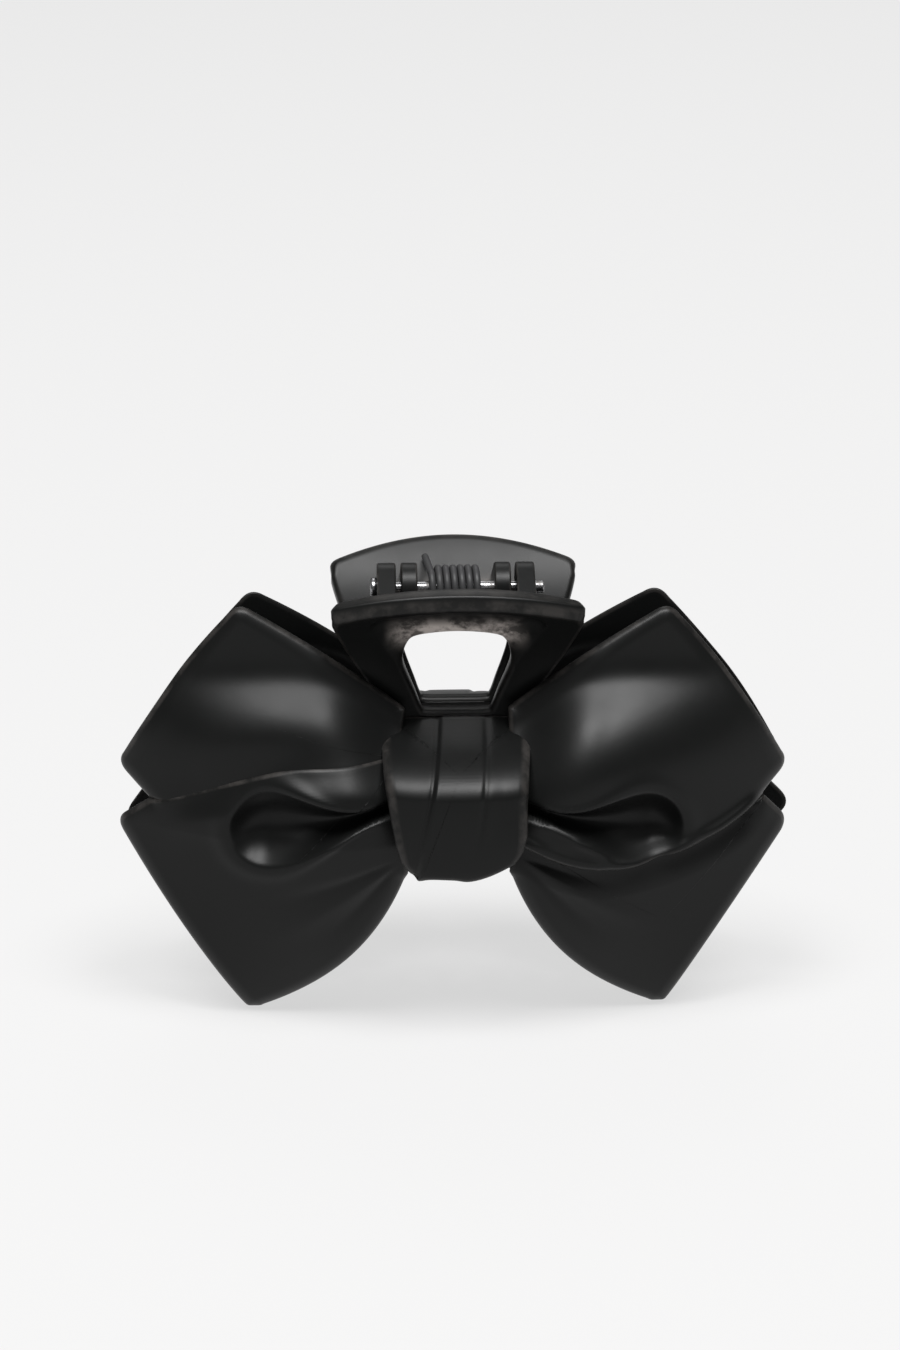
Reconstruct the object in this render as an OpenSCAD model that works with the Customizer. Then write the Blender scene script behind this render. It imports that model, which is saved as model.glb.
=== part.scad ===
// Bow claw clip for hair: two sprung jaws on one hinge pin, each jaw dressed as a bow.
// X runs across the bow, Y from the front jaw to the rear jaw, Z up. The origin lies under
// the middle of the clip, on the plane that its four tail tips stand on. A "depth" is a
// distance out from the middle plane Y = 0. The rear jaw is the front one, half turned.

/* [Loops] */
// Distance of a loop's outer side from the middle
loop_reach = 54; // [44:0.5:64]
// Height of a loop's outer side
loop_side_z = 43; // [40.5:0.5:52]
// Distance of a loop's top corner from the middle
loop_corner_x = 33; // [27:0.5:40]
// Height of a loop's top corner
loop_corner_z = 70.4; // [58:0.2:85]
// Height at which a loop's top edge meets the knot
loop_root_z = 53; // [51.5:0.5:60]
// Distance of the notch between loop and tail from the middle
notch_x = 49.2; // [41:0.2:59]
// Height of the notch
notch_z = 38; // [34:0.5:40]
// Rounding of a loop's top corner
loop_corner_r = 3; // [1:0.5:5]

/* [Tails] */
// Distance of a tail's outer corner from the middle
tail_reach = 54.6; // [44:0.1:66]
// Height of a tail's outer corner
tail_corner_z = 32; // [26:0.5:34]
// Distance of a tail's tip from the middle
tail_tip_x = 33; // [27:0.5:40]
// Width of the flat foot at a tail's tip
foot_w = 2.6; // [2:0.1:4]
// Height at which the tail that lies over its loop meets the knot
ridge_root_z = 47; // [42:0.5:50]
// Height at which the loop that lies over its tail meets the knot
hem_root_z = 33; // [31:0.5:40]

/* [Shell] */
// Wall of the loops and tails
wall = 1.9; // [1.4:0.1:2.6]
// Depth of the outer face along the rim
rim_depth = 4; // [3.3:0.1:5]
// Depth of the outer face beside the knot
crown_depth = 21.5; // [17.5:0.5:26]

/* [Knot] */
// Width of the knot band
knot_w = 20; // [16:0.5:24]
// Height of the knot's lower edge
knot_bottom_z = 28; // [23.5:0.5:30]
// Height of the knot's upper edge, where the thumb tab's neck starts
knot_top_z = 51; // [49:0.5:51]
// How far the knot stands proud of the loops and tails
knot_proud = 2; // [1:0.1:3]
// Wall of the knot band
knot_wall = 4.2; // [3.5:0.1:5.2]

/* [Thumb tab] */
// Width of the tab at its lip
tab_w = 39.6; // [33:0.2:48]
// Width of the tab at its neck
neck_w = 20.4; // [17:0.2:24.6]
// Height of the middle of the lip
lip_z = 75.1; // [70:0.1:91]
// Depth of the lip's outer edge
lip_depth = 16.9; // [14:0.1:20.4]
// Thickness of the lip
lip_t = 3.9; // [3.2:0.1:4.8]
// Drop of the lip from its middle to its ends
lip_drop = 2.8; // [2:0.1:3.4]
// Depth of the neck's outer face
neck_depth = 4.5; // [4.2:0.1:5]
// Thickness of the neck
neck_t = 2.7; // [2.2:0.1:3.2]
// Width of the window at its top
window_w = 17; // [14:0.2:20.4]
// Width of the window at its bottom
window_foot_w = 11; // [9:0.2:13.2]
// Height of the window's lower edge
window_bottom_z = 52.2; // [51.6:0.1:55]
// Height of the window's upper edge
window_top_z = 65; // [61:0.1:66]

/* [Hinge] */
// Drop from the lip to the pin's axis
pin_drop = 4.4; // [3.7:0.1:5.3]
// Radius of the pin
pin_r = 1; // [0.8:0.05:1.2]
// Length of the pin under its head
pin_length = 26.6; // [26:0.1:32]
// Radius of the pin's head
head_r = 1.7; // [1.4:0.05:2.1]
// Length of the pin's head
head_t = 1.1; // [0.9:0.1:1.4]
// Radius of the ears round the pin
ear_r = 4; // [3.3:0.1:4.6]
// Thickness of each outer ear
ear_t = 3; // [2.5:0.1:3.6]
// Distance of an outer ear's inner face from the middle
ear_x = 9.5; // [9.3:0.1:11.4]
// Thickness of each inner knuckle
knuckle_t = 2.6; // [2.1:0.1:3.1]
// Gap between an outer ear and the inner knuckle beside it
ear_gap = 0.8; // [0.3:0.1:1]
// Radial clearance of the pin in the outer ears, which hold it
pin_hold = 0.02; // [0.01:0.01:0.03]
// Radial clearance of the pin in the inner knuckles, which turn on it
pin_play = 0.06; // [0.04:0.01:0.1]

/* [Spring] */
// Thickness of the spring wire
wire_d = 1.12; // [0.9:0.02:1.36]
// Middle radius of the spring's coil
coil_r = 3.1; // [2.6:0.05:3.7]
// Number of turns
coil_turns = 6.5; // [4.5:1:7.5]
// Gap between neighbouring turns
turn_gap = 0.06; // [0.04:0.01:0.1]
// Gap left between a spring leg and the tab it bears on
leg_gap = 0.05; // [0.02:0.01:0.1]

/* [Comb] */
// Number of teeth on each jaw
tooth_count = 9; // [7:1:11]
// Distance between a jaw's teeth
tooth_pitch = 7.2; // [6:0.1:8.6]
// Width of a tooth
tooth_w = 2; // [1.6:0.1:2.4]
// Height of the comb's bar at its lower edge
bar_z = 28; // [24:0.5:29]
// Height of the bar itself
bar_h = 3.4; // [2.8:0.1:4.8]
// Thickness of the bar
bar_t = 2.2; // [1.8:0.1:2.6]
// Gap between the bar and the shell in front of it
bar_gap = 0.5; // [0.3:0.1:0.8]
// How far the teeth reach past the middle plane
tooth_past = 2; // [1:0.1:2.6]
// Drop of a tooth's tip below the bar
tooth_fall = 4.6; // [3.8:0.1:5.6]

/* [Hidden] */
$fn = 48;

soft_black = "#2b2b2d";
bright_steel = "#c9c9cc";
coated_steel = "#5d5d60";

root_x = knot_w / 2;
pin_z = lip_z - pin_drop;
knot_depth = crown_depth + knot_proud;
knot_back_depth = knot_depth - knot_wall;
knuckle_x = ear_x - ear_gap - knuckle_t;
turn_pitch = wire_d + turn_gap;
edge_steps = 8;
corner_steps = 4;
root_steps = 6;
rings = 6;
wide = 200;

// ---- Curves ----

function ease(t) = let (c = min(max(t, 0), 1)) c * c * (3 - 2 * c);
function unit(v) = v / norm(v);
function left_of(v) = [-v.y, v.x];
function toward(a, b, distance) = a + unit(b - a) * distance;
function bend(a, m, b, t) = (1 - t) * (1 - t) * a + 2 * t * (1 - t) * m + t * t * b;
function curve(a, m, b, steps) = [for (i = [0:steps]) bend(a, m, b, i / steps)];

// The straight line from a to b, without its end
function line(a, b, steps) = [for (i = [0:steps - 1]) a + (b - a) * i / steps];

// A shallow arc from a to b whose middle stands off the chord, to the left if bulge is positive
function arc(a, b, bulge, steps = edge_steps) =
    curve(a, (a + b) / 2 + 2 * bulge * left_of(unit(b - a)), b, steps);

// The rounding of corner v between its neighbours a and b
function corner(a, v, b, r) = curve(toward(v, a, r), v, toward(v, b, r), corner_steps);
function reversed(list) = [for (i = [len(list) - 1:-1:0]) list[i]];
function without_ends(list) = [for (i = [1:len(list) - 2]) list[i]];

// ---- The bow's surface ----

// Height of the shoulder under the loops' flat collars; it drops towards the knot
shoulder_z = 47;
shoulder_rise = 9;
shoulder_run = 10;
function shoulder(x) = shoulder_z + shoulder_rise * ease((abs(x) - root_x) / shoulder_run);

// Depth of the outer face at a place: full beside the knot, falling to the rim outwards,
// to a flat collar above the shoulder and towards the feet
collar_share = 0.25;
shoulder_h = 11;
belly_z = 34;
function fall_out(x) =
    1 - pow(min(max((abs(x) - root_x) / (min(loop_reach, tail_reach) - root_x), 0), 1), 1.8);
function under_collar(x, z) =
    collar_share + (1 - collar_share) * ease((shoulder(x) + 2 - z) / shoulder_h);
function above_feet(z) = pow(min(max(z / belly_z, 0), 1), 0.75);
function shell_depth(x, z) =
    rim_depth + (crown_depth - rim_depth) * fall_out(x) * under_collar(x, z) * above_feet(z);

// A closed shell over an outline of [x, z] points, fanned out from a centre it all can see
module shell_over(outline, centre) {
    n = len(outline);
    function place(k, j) = centre + (outline[j] - centre) * k / rings;
    function at(p, inset) = [p.x, inset - shell_depth(p.x, p.y), p.y];
    function layer(inset) =
        concat([at(centre, inset)], [for (k = [1:rings], j = [0:n - 1]) at(place(k, j), inset)]);
    function id(side, k, j) = side * (1 + rings * n) + (k == 0 ? 0 : 1 + (k - 1) * n + j % n);
    fan = [for (j = [0:n - 1]) [id(0, 0, 0), id(0, 1, j), id(0, 1, j + 1)]];
    fan_back = [for (j = [0:n - 1]) [id(1, 0, 0), id(1, 1, j + 1), id(1, 1, j)]];
    skin = [
        for (k = [1:rings - 1], j = [0:n - 1])
            each [
                [id(0, k, j), id(0, k + 1, j), id(0, k + 1, j + 1)],
                [id(0, k, j), id(0, k + 1, j + 1), id(0, k, j + 1)]
            ]
    ];
    skin_back = [
        for (k = [1:rings - 1], j = [0:n - 1])
            each [
                [id(1, k, j), id(1, k + 1, j + 1), id(1, k + 1, j)],
                [id(1, k, j), id(1, k, j + 1), id(1, k + 1, j + 1)]
            ]
    ];
    rim = [
        for (j = [0:n - 1])
            each [
                [id(0, rings, j), id(1, rings, j), id(1, rings, j + 1)],
                [id(0, rings, j), id(1, rings, j + 1), id(0, rings, j + 1)]
            ]
    ];
    polyhedron(concat(layer(0), layer(wall)), concat(fan, fan_back, skin, skin_back, rim));
}

// ---- Outlines, for the side with sign s: -1 is left and 1 is right ----

// The line where loop and tail meet, from the notch to the knot
ridge_rise = 3;
hem_sag = 5.6;
function notch(s) = [s * notch_x, notch_z];
function meeting(s) =
    s < 0
        ? arc(notch(s), [-root_x, ridge_root_z], ridge_rise, 12)
        : arc(notch(s), [root_x, hem_root_z], hem_sag, 12);
function meeting_root_z(s) = s < 0 ? ridge_root_z : hem_root_z;

// All outlines run anticlockwise on the right and clockwise on the left
loop_top_bulge = 0.6;
loop_side_bulge = 0.4;
side_r = 2.4;
function loop_outline(s) =
    let (
        root = [s * root_x, loop_root_z],
        peak = [s * loop_corner_x, loop_corner_z],
        side = [s * loop_reach, loop_side_z]
    )
    concat(
        reversed(meeting(s)),
        corner(notch(s), side, peak, side_r),
        without_ends(arc(toward(side, peak, side_r), toward(peak, side, loop_corner_r),
            s * loop_side_bulge * -1)),
        corner(side, peak, root, loop_corner_r),
        without_ends(arc(toward(peak, root, loop_corner_r), root, s * loop_top_bulge * -1)),
        line(root, [s * root_x, meeting_root_z(s)], root_steps)
    );

tail_side_bulge = 0.1;
tail_inner_bulge = 3.8;
tail_corner_r = 2.4;
foot_r = 0.5;
function tail_outline(s) =
    let (
        foot_in = [s * (tail_tip_x - foot_w / 2), 0],
        foot_out = [s * (tail_tip_x + foot_w / 2), 0],
        root = [s * root_x, knot_bottom_z],
        side = [s * tail_reach, tail_corner_z]
    )
    concat(
        meeting(s),
        without_ends(concat(line([s * root_x, meeting_root_z(s)], root, root_steps), [root])),
        [root],
        without_ends(arc(root, toward(foot_in, root, foot_r), s * tail_inner_bulge * -1)),
        corner(root, foot_in, foot_out, foot_r),
        corner(foot_in, foot_out, side, foot_r),
        without_ends(arc(toward(foot_out, side, foot_r), toward(side, foot_out, tail_corner_r),
            s * tail_side_bulge * -1)),
        corner(foot_out, side, notch(s), tail_corner_r)
    );

module bow_loop(s) {
    color(soft_black)
        shell_over(loop_outline(s), [s * (loop_corner_x + 1.5), (loop_corner_z + notch_z) / 2]);
}

module bow_tail(s) {
    color(soft_black)
        shell_over(tail_outline(s), [s * tail_tip_x, tail_corner_z * (s < 0 ? 0.75 : 0.56)]);
}

// ---- Side views, drawn as [y, z] with the jaw towards -Y and extruded along X ----

module across(width, at = 0) {
    translate([at - width / 2, 0, 0])
        rotate([90, 0, 90])
            linear_extrude(width)
                children();
}

// The knot springs from the neck, swells past the lip and curls in at its lower edge
knot_curl = 2.4;
knot_back_low_z = knot_bottom_z + 2;
knot_back_high_z = 38;
module knot_side() {
    neck_out = [-neck_depth, knot_top_z];
    neck_in = [-(neck_depth - neck_t), knot_top_z];
    front_mid = [-knot_depth, (knot_bottom_z + knot_back_high_z) / 2 + 1];
    front_low = [-(knot_depth - knot_curl), knot_bottom_z];
    back_low = [-knot_back_depth, knot_back_low_z];
    back_high = [-knot_back_depth, knot_back_high_z];
    polygon(concat(
        curve(neck_out, [-knot_depth + 1, knot_back_high_z + 9], front_mid, 12),
        curve(front_mid, [-knot_depth, knot_bottom_z + 1], front_low, 5),
        [back_low],
        curve(back_high, [-knot_back_depth, knot_back_high_z + 7], neck_in, 12)
    ));
}

module knot() {
    color(soft_black) across(knot_w) knot_side();
}

// The tab's two faces as side-view curves from the neck to the lip
tab_bend_z = knot_top_z + 0.52 * (lip_z - knot_top_z);
lip_low = [-lip_depth, lip_z - 0.74 * lip_t];
lip_high = [-(lip_depth - 0.67 * lip_t), lip_z];
lip_edge = [-(lip_depth - 0.3), lip_z - 0.7];
tab_front = curve([-neck_depth, knot_top_z], [-(neck_depth + 0.5), tab_bend_z], lip_low, 14);
tab_back = curve([-(neck_depth - neck_t), knot_top_z],
    [-(neck_depth - neck_t + 1.1), tab_bend_z + 2.1], lip_high, 14);

module tab_side() {
    polygon(concat(tab_front, [lip_edge], reversed(tab_back)));
}

// The tab from the front, as [x, z]
tab_corner_r = 1.5;
module tab_outline() {
    half_lip = tab_w / 2;
    half_neck = neck_w / 2;
    low_z = lip_z - lip_drop;
    right = concat(
        curve([half_neck, knot_top_z], [half_lip - 2.4, knot_top_z + 0.5 * (low_z - knot_top_z)],
            [half_lip, low_z - tab_corner_r], 10),
        [[half_lip - 0.2, low_z - 0.4]]
    );
    lip = arc([half_lip - tab_corner_r, low_z], [-half_lip + tab_corner_r, low_z], -lip_drop, 16);
    polygon(concat(right, lip, [for (p = reversed(right)) [-p.x, p.y]]));
}

// The window, with its corners rounded by the curves between its four sides
module window_outline() {
    half = window_w / 2;
    half_foot = window_foot_w / 2;
    waist_z = window_top_z - 3.6;
    r = 1.2;
    right = concat(
        corner([0, window_bottom_z], [half_foot, window_bottom_z], [half, waist_z], r),
        curve([half - 0.4, waist_z - 1], [half + 0.5, waist_z + 1.6],
            [half - 1.2, window_top_z - 0.5], 5)
    );
    polygon(concat(right, [[0, window_top_z]], [for (p = reversed(right)) [-p.x, p.y]]));
}

module along_depth() {
    translate([0, wide / 2, 0]) rotate([90, 0, 0]) linear_extrude(wide) children();
}

// An ear or knuckle: a round eye on the pin, joined to the back of the tab
ear_low_z = pin_z - 9;
ear_slope = 30;
module ear_side() {
    bed = [for (p = tab_back) if (p.y > ear_low_z && p.y < pin_z - 0.5) p - [0.7, 0]];
    translate([0, pin_z]) circle(ear_r);
    polygon(concat(
        [[-ear_r * sin(ear_slope), pin_z + ear_r * cos(ear_slope) - 0.01]],
        reversed(bed),
        [[ear_r * 0.8, pin_z - ear_r * 0.6]]
    ));
}

module ears(inner_face, thickness) {
    for (s = [-1, 1])
        across(thickness, s * (inner_face + thickness / 2)) ear_side();
}

module pin_bore(clearance) {
    translate([-wide / 2, 0, pin_z])
        rotate([0, 90, 0])
            cylinder(h = wide, r = pin_r + clearance);
}

module thumb_tab(ear_face, ear_thickness, clearance) {
    color(soft_black)
        difference() {
            union() {
                difference() {
                    intersection() {
                        across(wide) tab_side();
                        along_depth() tab_outline();
                    }
                    along_depth() window_outline();
                }
                ears(ear_face, ear_thickness);
            }
            pin_bore(clearance);
        }
}

// ---- The comb behind the knot ----

// Depth of the bar's front face: just behind the shell, or behind the knot in the middle
function bar_front(x) =
    min(shell_depth(max(abs(x), root_x), bar_z), knot_back_depth + wall)
        - wall - bar_gap;
tooth_shift = tooth_pitch / 4;
first_tooth = -(tooth_count - 1) / 2;
bar_half = (tooth_count - 1) / 2 * tooth_pitch + tooth_shift + tooth_w;
bar_stations = 16;

module comb_bar() {
    xs = [for (i = [0:bar_stations]) -bar_half + 2 * bar_half * i / bar_stations];
    plan = concat(
        [for (x = xs) [x, -bar_front(x)]],
        [for (x = reversed(xs)) [x, bar_t - bar_front(x)]]
    );
    translate([0, 0, bar_z]) linear_extrude(bar_h) polygon(plan);
}

// The pad that joins the bar to the flat back of the knot
module comb_pad() {
    pad_w = knot_w - 6;
    back = bar_front(0) - bar_t / 2;
    translate([-pad_w / 2, -knot_back_depth, knot_back_low_z])
        cube([pad_w, knot_back_depth - back, bar_z + bar_h + 2 - knot_back_low_z]);
}

module tooth(x) {
    root = -(bar_front(x) - bar_t / 2);
    tip_z = bar_z - tooth_fall;
    tip_h = 1.1;
    across(tooth_w, x)
        polygon(concat(
            curve([root, bar_z + bar_h], [root * 0.35, bar_z + bar_h], [tooth_past, tip_z + tip_h], 8),
            curve([tooth_past, tip_z], [root * 0.3, bar_z - 0.5], [root, bar_z], 8)
        ));
}

module comb() {
    color(soft_black) {
        comb_bar();
        comb_pad();
        for (i = [0:tooth_count - 1])
            tooth((first_tooth + i) * tooth_pitch + tooth_shift);
    }
}

// ---- Hinge pin and spring ----

module hinge_pin() {
    start = -(ear_x + ear_t);
    color(bright_steel)
        translate([start, 0, pin_z])
            rotate([0, 90, 0]) {
                cylinder(h = pin_length, r = pin_r);
                translate([0, 0, -head_t]) cylinder(h = head_t, r = head_r);
            }
}

// The wire's path: a leg on the rear tab, the coil, and a leg on the front tab.
// Angles run from +Z towards +Y, so both legs leave the top of the coil.
wire_sides = 8;
steps_per_turn = 20;
leg_run = 7;
function on_coil(x, angle) = [x, coil_r * sin(angle), pin_z + coil_r * cos(angle)];
coil_half = coil_turns * turn_pitch / 2;
coil_start = 90 - 90 * 1.35;
function coil_path() =
    let (count = coil_turns * steps_per_turn)
    [for (i = [0:count]) on_coil(-coil_half + 2 * coil_half * i / count,
        -leg_angle - 360 * coil_turns * i / count)];

// Each leg leaves the coil along its tangent and climbs to the back of its tab
leg_angle = 28;
function leg_end(s) = [s * (coil_half + turn_pitch * 0.6), s * -leg_reach, pin_z + leg_top];
leg_top = 1.9;
function back_at(z) =
    let (i = [for (k = [0:len(tab_back) - 2]) if (tab_back[k + 1].y >= z) k][0])
    let (a = tab_back[i], b = tab_back[i + 1])
    a.x + (b.x - a.x) * (z - a.y) / (b.y - a.y);
leg_reach = -back_at(pin_z + leg_top) - leg_gap - wire_d * 0.8;

module wire(path) {
    n = len(path);
    function way(i) = unit(path[min(i + 1, n - 1)] - path[max(i - 1, 0)]);
    function ring(i) =
        let (t = way(i), u = unit(cross(t, abs(t.x) > 0.9 ? [0, 0, 1] : [1, 0, 0])), v = cross(t, u))
        [for (k = [0:wire_sides - 1])
            path[i] + wire_d / 2 * (u * cos(360 * k / wire_sides) + v * sin(360 * k / wire_sides))];
    function id(i, k) = i * wire_sides + k % wire_sides;
    sides = [
        for (i = [0:n - 2], k = [0:wire_sides - 1])
            each [
                [id(i, k), id(i, k + 1), id(i + 1, k + 1)],
                [id(i, k), id(i + 1, k + 1), id(i + 1, k)]
            ]
    ];
    start = [[for (k = [wire_sides - 1:-1:0]) id(0, k)]];
    end = [[for (k = [0:wire_sides - 1]) id(n - 1, k)]];
    polyhedron([for (i = [0:n - 1]) each ring(i)], concat(sides, start, end));
}

module torsion_spring() {
    coil = coil_path();
    color(coated_steel)
        wire(concat([leg_end(-1)], coil, [leg_end(1)]));
}

// ---- Nodes ----

module half_turn() {
    rotate([0, 0, 180]) children();
}

module front_thumb_tab() { thumb_tab(ear_x, ear_t, pin_hold); }
module front_knot() { knot(); }
module front_comb() { comb(); }
module front_left_loop() { bow_loop(-1); }
module front_right_loop() { bow_loop(1); }
module front_left_tail() { bow_tail(-1); }
module front_right_tail() { bow_tail(1); }
module rear_thumb_tab() { half_turn() thumb_tab(knuckle_x, knuckle_t, pin_play); }
module rear_knot() { half_turn() knot(); }
module rear_comb() { half_turn() comb(); }
module rear_left_loop() { half_turn() bow_loop(1); }
module rear_right_loop() { half_turn() bow_loop(-1); }
module rear_left_tail() { half_turn() bow_tail(1); }
module rear_right_tail() { half_turn() bow_tail(-1); }

front_thumb_tab();
front_knot();
front_comb();
front_left_loop();
front_right_loop();
front_left_tail();
front_right_tail();
rear_thumb_tab();
rear_knot();
rear_comb();
rear_left_loop();
rear_right_loop();
rear_left_tail();
rear_right_tail();
hinge_pin();
torsion_spring();
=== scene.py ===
"""Bow claw clip: the looks of two moulded jaws, a hinge pin and a torsion spring.

Lengths in this file are millimetres unless a name says otherwise. A "depth" is a distance out
from the middle plane between the jaws. Every shape is worked out on the front jaw and the rear
jaw is the same shape half turned.
"""

import logging
import math
from dataclasses import dataclass, field
from enum import Enum
from typing import Callable, Optional, Sequence

import bmesh
import bpy
import numpy as np
from mathutils import Matrix, Vector


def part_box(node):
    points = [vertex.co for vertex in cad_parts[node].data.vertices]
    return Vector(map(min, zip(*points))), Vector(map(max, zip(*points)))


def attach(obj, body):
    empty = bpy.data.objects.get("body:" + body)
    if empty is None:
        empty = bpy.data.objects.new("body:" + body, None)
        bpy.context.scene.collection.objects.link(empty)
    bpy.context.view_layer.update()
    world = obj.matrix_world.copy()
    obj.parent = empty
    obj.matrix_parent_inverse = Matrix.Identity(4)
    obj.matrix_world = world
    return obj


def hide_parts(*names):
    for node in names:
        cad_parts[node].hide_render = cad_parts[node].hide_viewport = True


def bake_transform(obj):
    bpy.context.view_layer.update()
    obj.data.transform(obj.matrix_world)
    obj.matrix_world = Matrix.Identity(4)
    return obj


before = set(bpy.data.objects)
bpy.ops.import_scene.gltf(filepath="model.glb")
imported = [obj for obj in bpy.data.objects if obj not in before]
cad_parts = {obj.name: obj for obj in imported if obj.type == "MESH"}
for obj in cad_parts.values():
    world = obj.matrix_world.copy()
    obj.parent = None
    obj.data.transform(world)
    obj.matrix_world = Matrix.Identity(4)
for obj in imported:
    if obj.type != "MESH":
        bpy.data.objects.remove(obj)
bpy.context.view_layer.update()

MM = 0.001
logging.basicConfig(level=logging.INFO, format="%(name)s: %(message)s")
log = logging.getLogger("claw_clip")

Loop = np.ndarray


class Jaw(Enum):
    """The two jaws, with the sign that half turns a shape onto each."""

    FRONT = 1
    REAR = -1

    @property
    def label(self) -> str:
        """The jaw's name as node names start with it."""
        return self.name.lower()

    @property
    def body(self) -> str:
        """The body that the jaw's pieces ride on."""
        return f"{self.label}_jaw"

    def place(self, x: np.ndarray, depth: np.ndarray, z: np.ndarray) -> np.ndarray:
        """Places points of the front jaw's shape onto this jaw.

        Args:
            x: Distances to the right of the middle.
            depth: Distances out from the middle plane.
            z: Heights.

        Returns:
            The points as rows of x, y and z in the clip's frame.
        """
        return np.stack([self.value * x, -self.value * depth, z], axis=-1)


class Side(Enum):
    """The two sides of a jaw, as seen on the front jaw."""

    LEFT = -1
    RIGHT = 1

    def seen_on(self, jaw: Jaw) -> str:
        """The side's name in node names, which count sides as seen from the front."""
        return "left" if self.value * jaw.value < 0 else "right"


class Slot(Enum):
    """The record's material slots."""

    PLASTIC = "coated_plastic"
    PIN = "pin_steel"
    SPRING = "spring_steel"


# ---- Curves in the plane of a jaw ----


def ease(t: np.ndarray) -> np.ndarray:
    """A smooth step from 0 to 1 as t goes from 0 to 1."""
    c = np.clip(t, 0.0, 1.0)
    return c * c * (3.0 - 2.0 * c)


def hump(t: np.ndarray) -> np.ndarray:
    """A smooth hump of height 1 at t = 0 that dies away past t = 2."""
    return np.exp(-np.square(t))


def bend(a: Sequence[float], m: Sequence[float], b: Sequence[float], steps: int) -> Loop:
    """A quadratic curve from a to b, pulled towards m.

    Args:
        a: The first point.
        m: The point that pulls the curve.
        b: The last point.
        steps: The number of steps along the curve.

    Returns:
        The points of the curve, both ends among them.
    """
    t = np.linspace(0.0, 1.0, steps + 1)[:, None]
    a, m, b = (np.asarray(p, float) for p in (a, m, b))
    return (1 - t) ** 2 * a + 2 * t * (1 - t) * m + t**2 * b


def arc(a: Sequence[float], b: Sequence[float], bulge: float, steps: int = 24) -> Loop:
    """A shallow arc from a to b.

    Args:
        a: The first point.
        b: The last point.
        bulge: How far the arc's middle stands off to the left of the way from a to b.
        steps: The number of steps along the arc.

    Returns:
        The points of the arc, both ends among them.
    """
    a, b = np.asarray(a, float), np.asarray(b, float)
    way = (b - a) / np.linalg.norm(b - a)
    return bend(a, (a + b) / 2 + 2 * bulge * np.array([-way[1], way[0]]), b, steps)


def toward(a: Sequence[float], b: Sequence[float], distance: float) -> np.ndarray:
    """The point at a distance from a towards b."""
    a, b = np.asarray(a, float), np.asarray(b, float)
    return a + (b - a) / np.linalg.norm(b - a) * distance


def corner(a: Sequence[float], v: Sequence[float], b: Sequence[float], r: float) -> Loop:
    """The rounding of corner v between the points a and b before and after it."""
    return bend(toward(v, a, r), v, toward(v, b, r), 10)


def soft_square(power: float, count: int = 24) -> tuple[np.ndarray, np.ndarray]:
    """A square with soft corners, two units across.

    Args:
        power: How round it is, from 0 for a square to 1 for a circle.
        count: The number of points.

    Returns:
        The points' places across and up.
    """
    turn = np.linspace(0.0, math.tau, count, endpoint=False)
    across, up = np.cos(turn), np.sin(turn)
    return np.sign(across) * np.abs(across) ** power, np.sign(up) * np.abs(up) ** power


def evenly(points: Loop, count: int) -> Loop:
    """Spaces a closed outline's points evenly.

    Args:
        points: The outline, without its first point again at the end.
        count: The number of points wanted.

    Returns:
        The outline as that many points, anticlockwise.
    """
    closed = np.vstack([points, points[:1]])
    steps = np.linalg.norm(np.diff(closed, axis=0), axis=1)
    keep = np.append(steps > 1e-9, True)
    closed = closed[keep]
    along = np.append(0.0, np.cumsum(np.linalg.norm(np.diff(closed, axis=0), axis=1)))
    at = np.linspace(0.0, along[-1], count, endpoint=False)
    even = np.stack([np.interp(at, along, closed[:, k]) for k in (0, 1)], axis=1)
    area = np.sum(even[:, 0] * np.roll(even[:, 1], -1) - np.roll(even[:, 0], -1) * even[:, 1])
    return even if area > 0 else even[::-1]


def outward(loop: Loop, reach: int = 1) -> Loop:
    """The unit normals of an anticlockwise outline, pointing out of it.

    Args:
        loop: The outline.
        reach: How many points to each side the direction is taken over.

    Returns:
        One normal for each point.
    """
    way = np.roll(loop, -reach, axis=0) - np.roll(loop, reach, axis=0)
    normal = np.stack([way[:, 1], -way[:, 0]], axis=1)
    return normal / np.linalg.norm(normal, axis=1, keepdims=True)


def by_angle(points: Loop, centre: Sequence[float], count: int) -> Loop:
    """An outline's points at even angles round a centre.

    Args:
        points: The outline, which the centre sees all of.
        centre: The centre.
        count: The number of points wanted.

    Returns:
        The outline as that many points, anticlockwise from straight right.
    """
    fine = evenly(points, 1600)
    rel = fine - np.asarray(centre, float)
    angle = np.unwrap(np.arctan2(rel[:, 1], rel[:, 0]))
    order = np.argsort(np.mod(angle, math.tau))
    turn = np.mod(angle, math.tau)[order]
    radius = np.linalg.norm(rel, axis=1)[order]
    turn = np.concatenate([turn[-1:] - math.tau, turn, turn[:1] + math.tau])
    radius = np.concatenate([radius[-1:], radius, radius[:1]])
    at = np.linspace(0.0, math.tau, count, endpoint=False)
    r = np.interp(at, turn, radius)
    return np.asarray(centre, float) + np.stack([r * np.cos(at), r * np.sin(at)], axis=1)


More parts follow.
